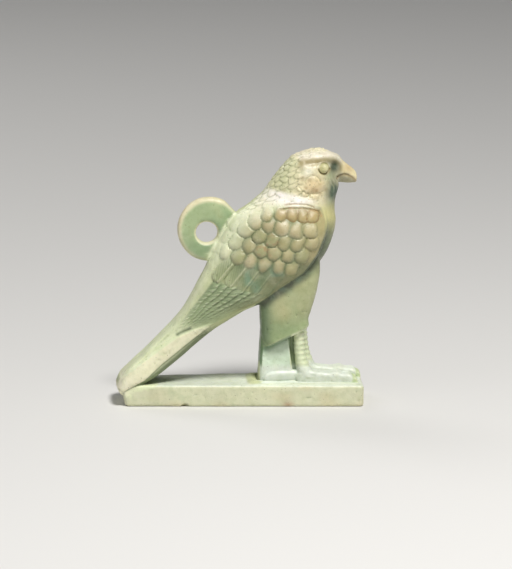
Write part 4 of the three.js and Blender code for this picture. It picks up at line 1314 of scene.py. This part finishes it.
class Graph:
    """A short way to write a material's nodes."""

    def __init__(self, name):
        self.material = bpy.data.materials.new(name)
        self.material.use_nodes = True
        self.tree = self.material.node_tree
        self.shader = self.tree.nodes["Principled BSDF"]

    def node(self, kind, **inputs):
        made = self.tree.nodes.new(kind)
        for key, value in inputs.items():
            if hasattr(made, key):
                setattr(made, key, value)
        return made

    def link(self, source, target):
        self.tree.links.new(source, target)

    def attribute(self, name, output="Fac"):
        return self.node("ShaderNodeAttribute", attribute_name=name).outputs[output]

    def noise(self, coords, scale, detail=3.0, roughness=0.55):
        made = self.node("ShaderNodeTexNoise")
        made.inputs["Scale"].default_value = scale
        made.inputs["Detail"].default_value = detail
        made.inputs["Roughness"].default_value = roughness
        self.link(coords, made.inputs["Vector"])
        return made.outputs["Fac"]

    def ramp(self, source, low, high, low_value=0.0, high_value=1.0):
        made = self.node("ShaderNodeMapRange")
        made.interpolation_type = "SMOOTHSTEP"
        for key, value in (("From Min", low), ("From Max", high), ("To Min", low_value), ("To Max", high_value)):
            made.inputs[key].default_value = value
        self.link(source, made.inputs["Value"])
        return made.outputs["Result"]

    def math(self, operation, first, second=None):
        made = self.node("ShaderNodeMath", operation=operation)
        for socket, value in zip(made.inputs, (first, second)):
            if value is None:
                continue
            if isinstance(value, (int, float)):
                socket.default_value = value
            else:
                self.link(value, socket)
        return made.outputs["Value"]

    def mix(self, factor, first, second, blend="MIX"):
        made = self.node("ShaderNodeMix", data_type="RGBA", blend_type=blend)
        sockets = [made.inputs[0], made.inputs[6], made.inputs[7]]
        for socket, value in zip(sockets, (factor, first, second)):
            if isinstance(value, (int, float)):
                socket.default_value = value
            elif isinstance(value, (tuple, list, np.ndarray)):
                socket.default_value = (*value[:3], 1)
            else:
                self.link(value, socket)
        return made.outputs[2]


def glaze_material():
    """Worn faience: mottled glaze, dark specks, hollows darkened partly by pooled glaze and partly as painted shade,
    and fine barbs in the feathers.
    """
    g = Graph("worn_glaze")
    coords = g.node("ShaderNodeTexCoord").outputs["Object"]
    tint = g.attribute("tint", "Color")
    cavity = g.attribute("cavity")
    barb = g.attribute("barb")
    barb_mask = g.attribute("barb_mask")

    mottle = g.noise(coords, 900, 5.0, 0.6)
    grain = g.noise(coords, 3600, 3.0, 0.6)
    specks = g.noise(coords, 2600, 1.5, 0.5)
    blotch = g.noise(coords, 260, 4.0, 0.6)

    col = g.mix(g.ramp(mottle, 0.42, 0.68, 0, 0.6), tint, (0.82, 0.85, 0.77), "MULTIPLY")
    col = g.mix(g.ramp(blotch, 0.52, 0.7, 0, 0.14), col, tuple(CREAM))
    col = g.mix(g.ramp(blotch, 0.46, 0.3, 0, 0.22), col, tuple(LOOP_GREEN))
    dark = g.ramp(specks, 0.69, 0.78, 0, 0.55)
    col = g.mix(dark, col, (0.16, 0.12, 0.06))
    lines = g.math("SINE", g.math("MULTIPLY", barb, 7.0))
    lines = g.ramp(lines, -0.3, 0.8)
    shade = g.math("MULTIPLY", g.math("SUBTRACT", 1.0, lines), g.math("MULTIPLY", barb_mask, 0.2))
    col = g.mix(shade, col, tuple(BARB_DARK))
    g.link(col, g.shader.inputs["Base Color"])

    rough = g.ramp(mottle, 0.3, 0.7, 0.32, 0.52)
    rough = g.math("ADD", rough, g.math("MULTIPLY", cavity, 0.15))
    g.link(rough, g.shader.inputs["Roughness"])

    height = g.math("MULTIPLY", grain, 0.35)
    height = g.math("ADD", height, g.math("MULTIPLY", mottle, 0.6))
    height = g.math("SUBTRACT", height, g.math("MULTIPLY", dark, 0.5))
    height = g.math("ADD", height, g.math("MULTIPLY", g.math("MULTIPLY", lines, barb_mask), 0.5))
    bump = g.node("ShaderNodeBump")
    bump.inputs["Strength"].default_value = 0.6
    bump.inputs["Distance"].default_value = 0.00014
    g.link(height, bump.inputs["Height"])
    g.link(bump.outputs["Normal"], g.shader.inputs["Normal"])

    g.shader.inputs["IOR"].default_value = 1.5
    g.shader.inputs["Subsurface Weight"].default_value = 0.08
    g.shader.inputs["Subsurface Radius"].default_value = (1.0, 0.8, 0.5)
    g.shader.inputs["Subsurface Scale"].default_value = 0.0005
    return g.material


def floor_material():
    g = Graph("floor")
    g.shader.inputs["Base Color"].default_value = (0.72, 0.71, 0.69, 1)
    g.shader.inputs["Roughness"].default_value = 0.8
    return g.material


def make_floor():
    mesh = bpy.data.meshes.new("floor")
    reach = 3.0
    mesh.from_pydata([(-reach, -reach, 0), (reach, -reach, 0), (reach, reach, 0), (-reach, reach, 0)], [], [(0, 1, 2, 3)])
    floor = bpy.data.objects.new("floor", mesh)
    mesh.materials.append(floor_material())
    bpy.context.scene.collection.objects.link(floor)


def look_at(obj, target):
    direction = Vector(target) - obj.location
    obj.rotation_euler = direction.to_track_quat("-Z", "Y").to_euler()


CAMERA_TARGET = (0.00322, 0.0, 0.02204)
CAMERA_DISTANCE = 1.1
CAMERA_ELEVATION = 11.0
CAMERA_AZIMUTH = -3.0
CAMERA_LENS = 373.0


def make_camera():
    """A long lens, a little above the amulet and a little towards its tail."""
    data = bpy.data.cameras.new("camera")
    data.lens = CAMERA_LENS
    data.sensor_width = 36
    data.clip_end = 20
    camera = bpy.data.objects.new("camera", data)
    elevation, azimuth = math.radians(CAMERA_ELEVATION), math.radians(CAMERA_AZIMUTH)
    away = Vector((math.cos(elevation) * math.sin(azimuth), -math.cos(elevation) * math.cos(azimuth), math.sin(elevation)))
    camera.location = Vector(CAMERA_TARGET) + away * CAMERA_DISTANCE
    look_at(camera, CAMERA_TARGET)
    bpy.context.scene.collection.objects.link(camera)
    bpy.context.scene.camera = camera


def area_light(name, location, size, power, tint=(1, 1, 1)):
    data = bpy.data.lights.new(name, "AREA")
    data.shape = "DISK"
    data.size = size
    data.energy = power
    data.color = tint
    light = bpy.data.objects.new(name, data)
    light.location = location
    look_at(light, (0.0, 0.0, 0.022))
    bpy.context.scene.collection.objects.link(light)


def make_lights():
    area_light("key", (0.12, -0.26, 0.5), 0.16, 3.3, (1.0, 0.99, 0.97))
    area_light("fill", (-0.45, -0.35, 0.25), 0.5, 0.32, (0.96, 0.98, 1.0))
    area_light("back", (-0.25, 0.4, 0.4), 0.3, 0.6, (1.0, 0.99, 0.97))
    world = bpy.data.worlds.new("studio")
    world.use_nodes = True
    world.node_tree.nodes["Background"].inputs["Color"].default_value = (0.88, 0.9, 0.93, 1)
    world.node_tree.nodes["Background"].inputs["Strength"].default_value = 0.13
    bpy.context.scene.view_settings.view_transform = "Standard"
    bpy.context.scene.world = world


make_camera()
make_lights()
make_floor()
falcon = make_falcon()
tint_skin(falcon)
for vertex_block in (falcon.data.vertices,):
    metres = coordinates(falcon.data) * MILLIMETRE
    vertex_block.foreach_set("co", metres.astype(np.float32).ravel())
falcon.data.update()
falcon.data.shade_smooth()
falcon.data.materials.clear()
falcon.data.materials.append(glaze_material())
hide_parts("falcon_amulet")
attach(falcon, "root")
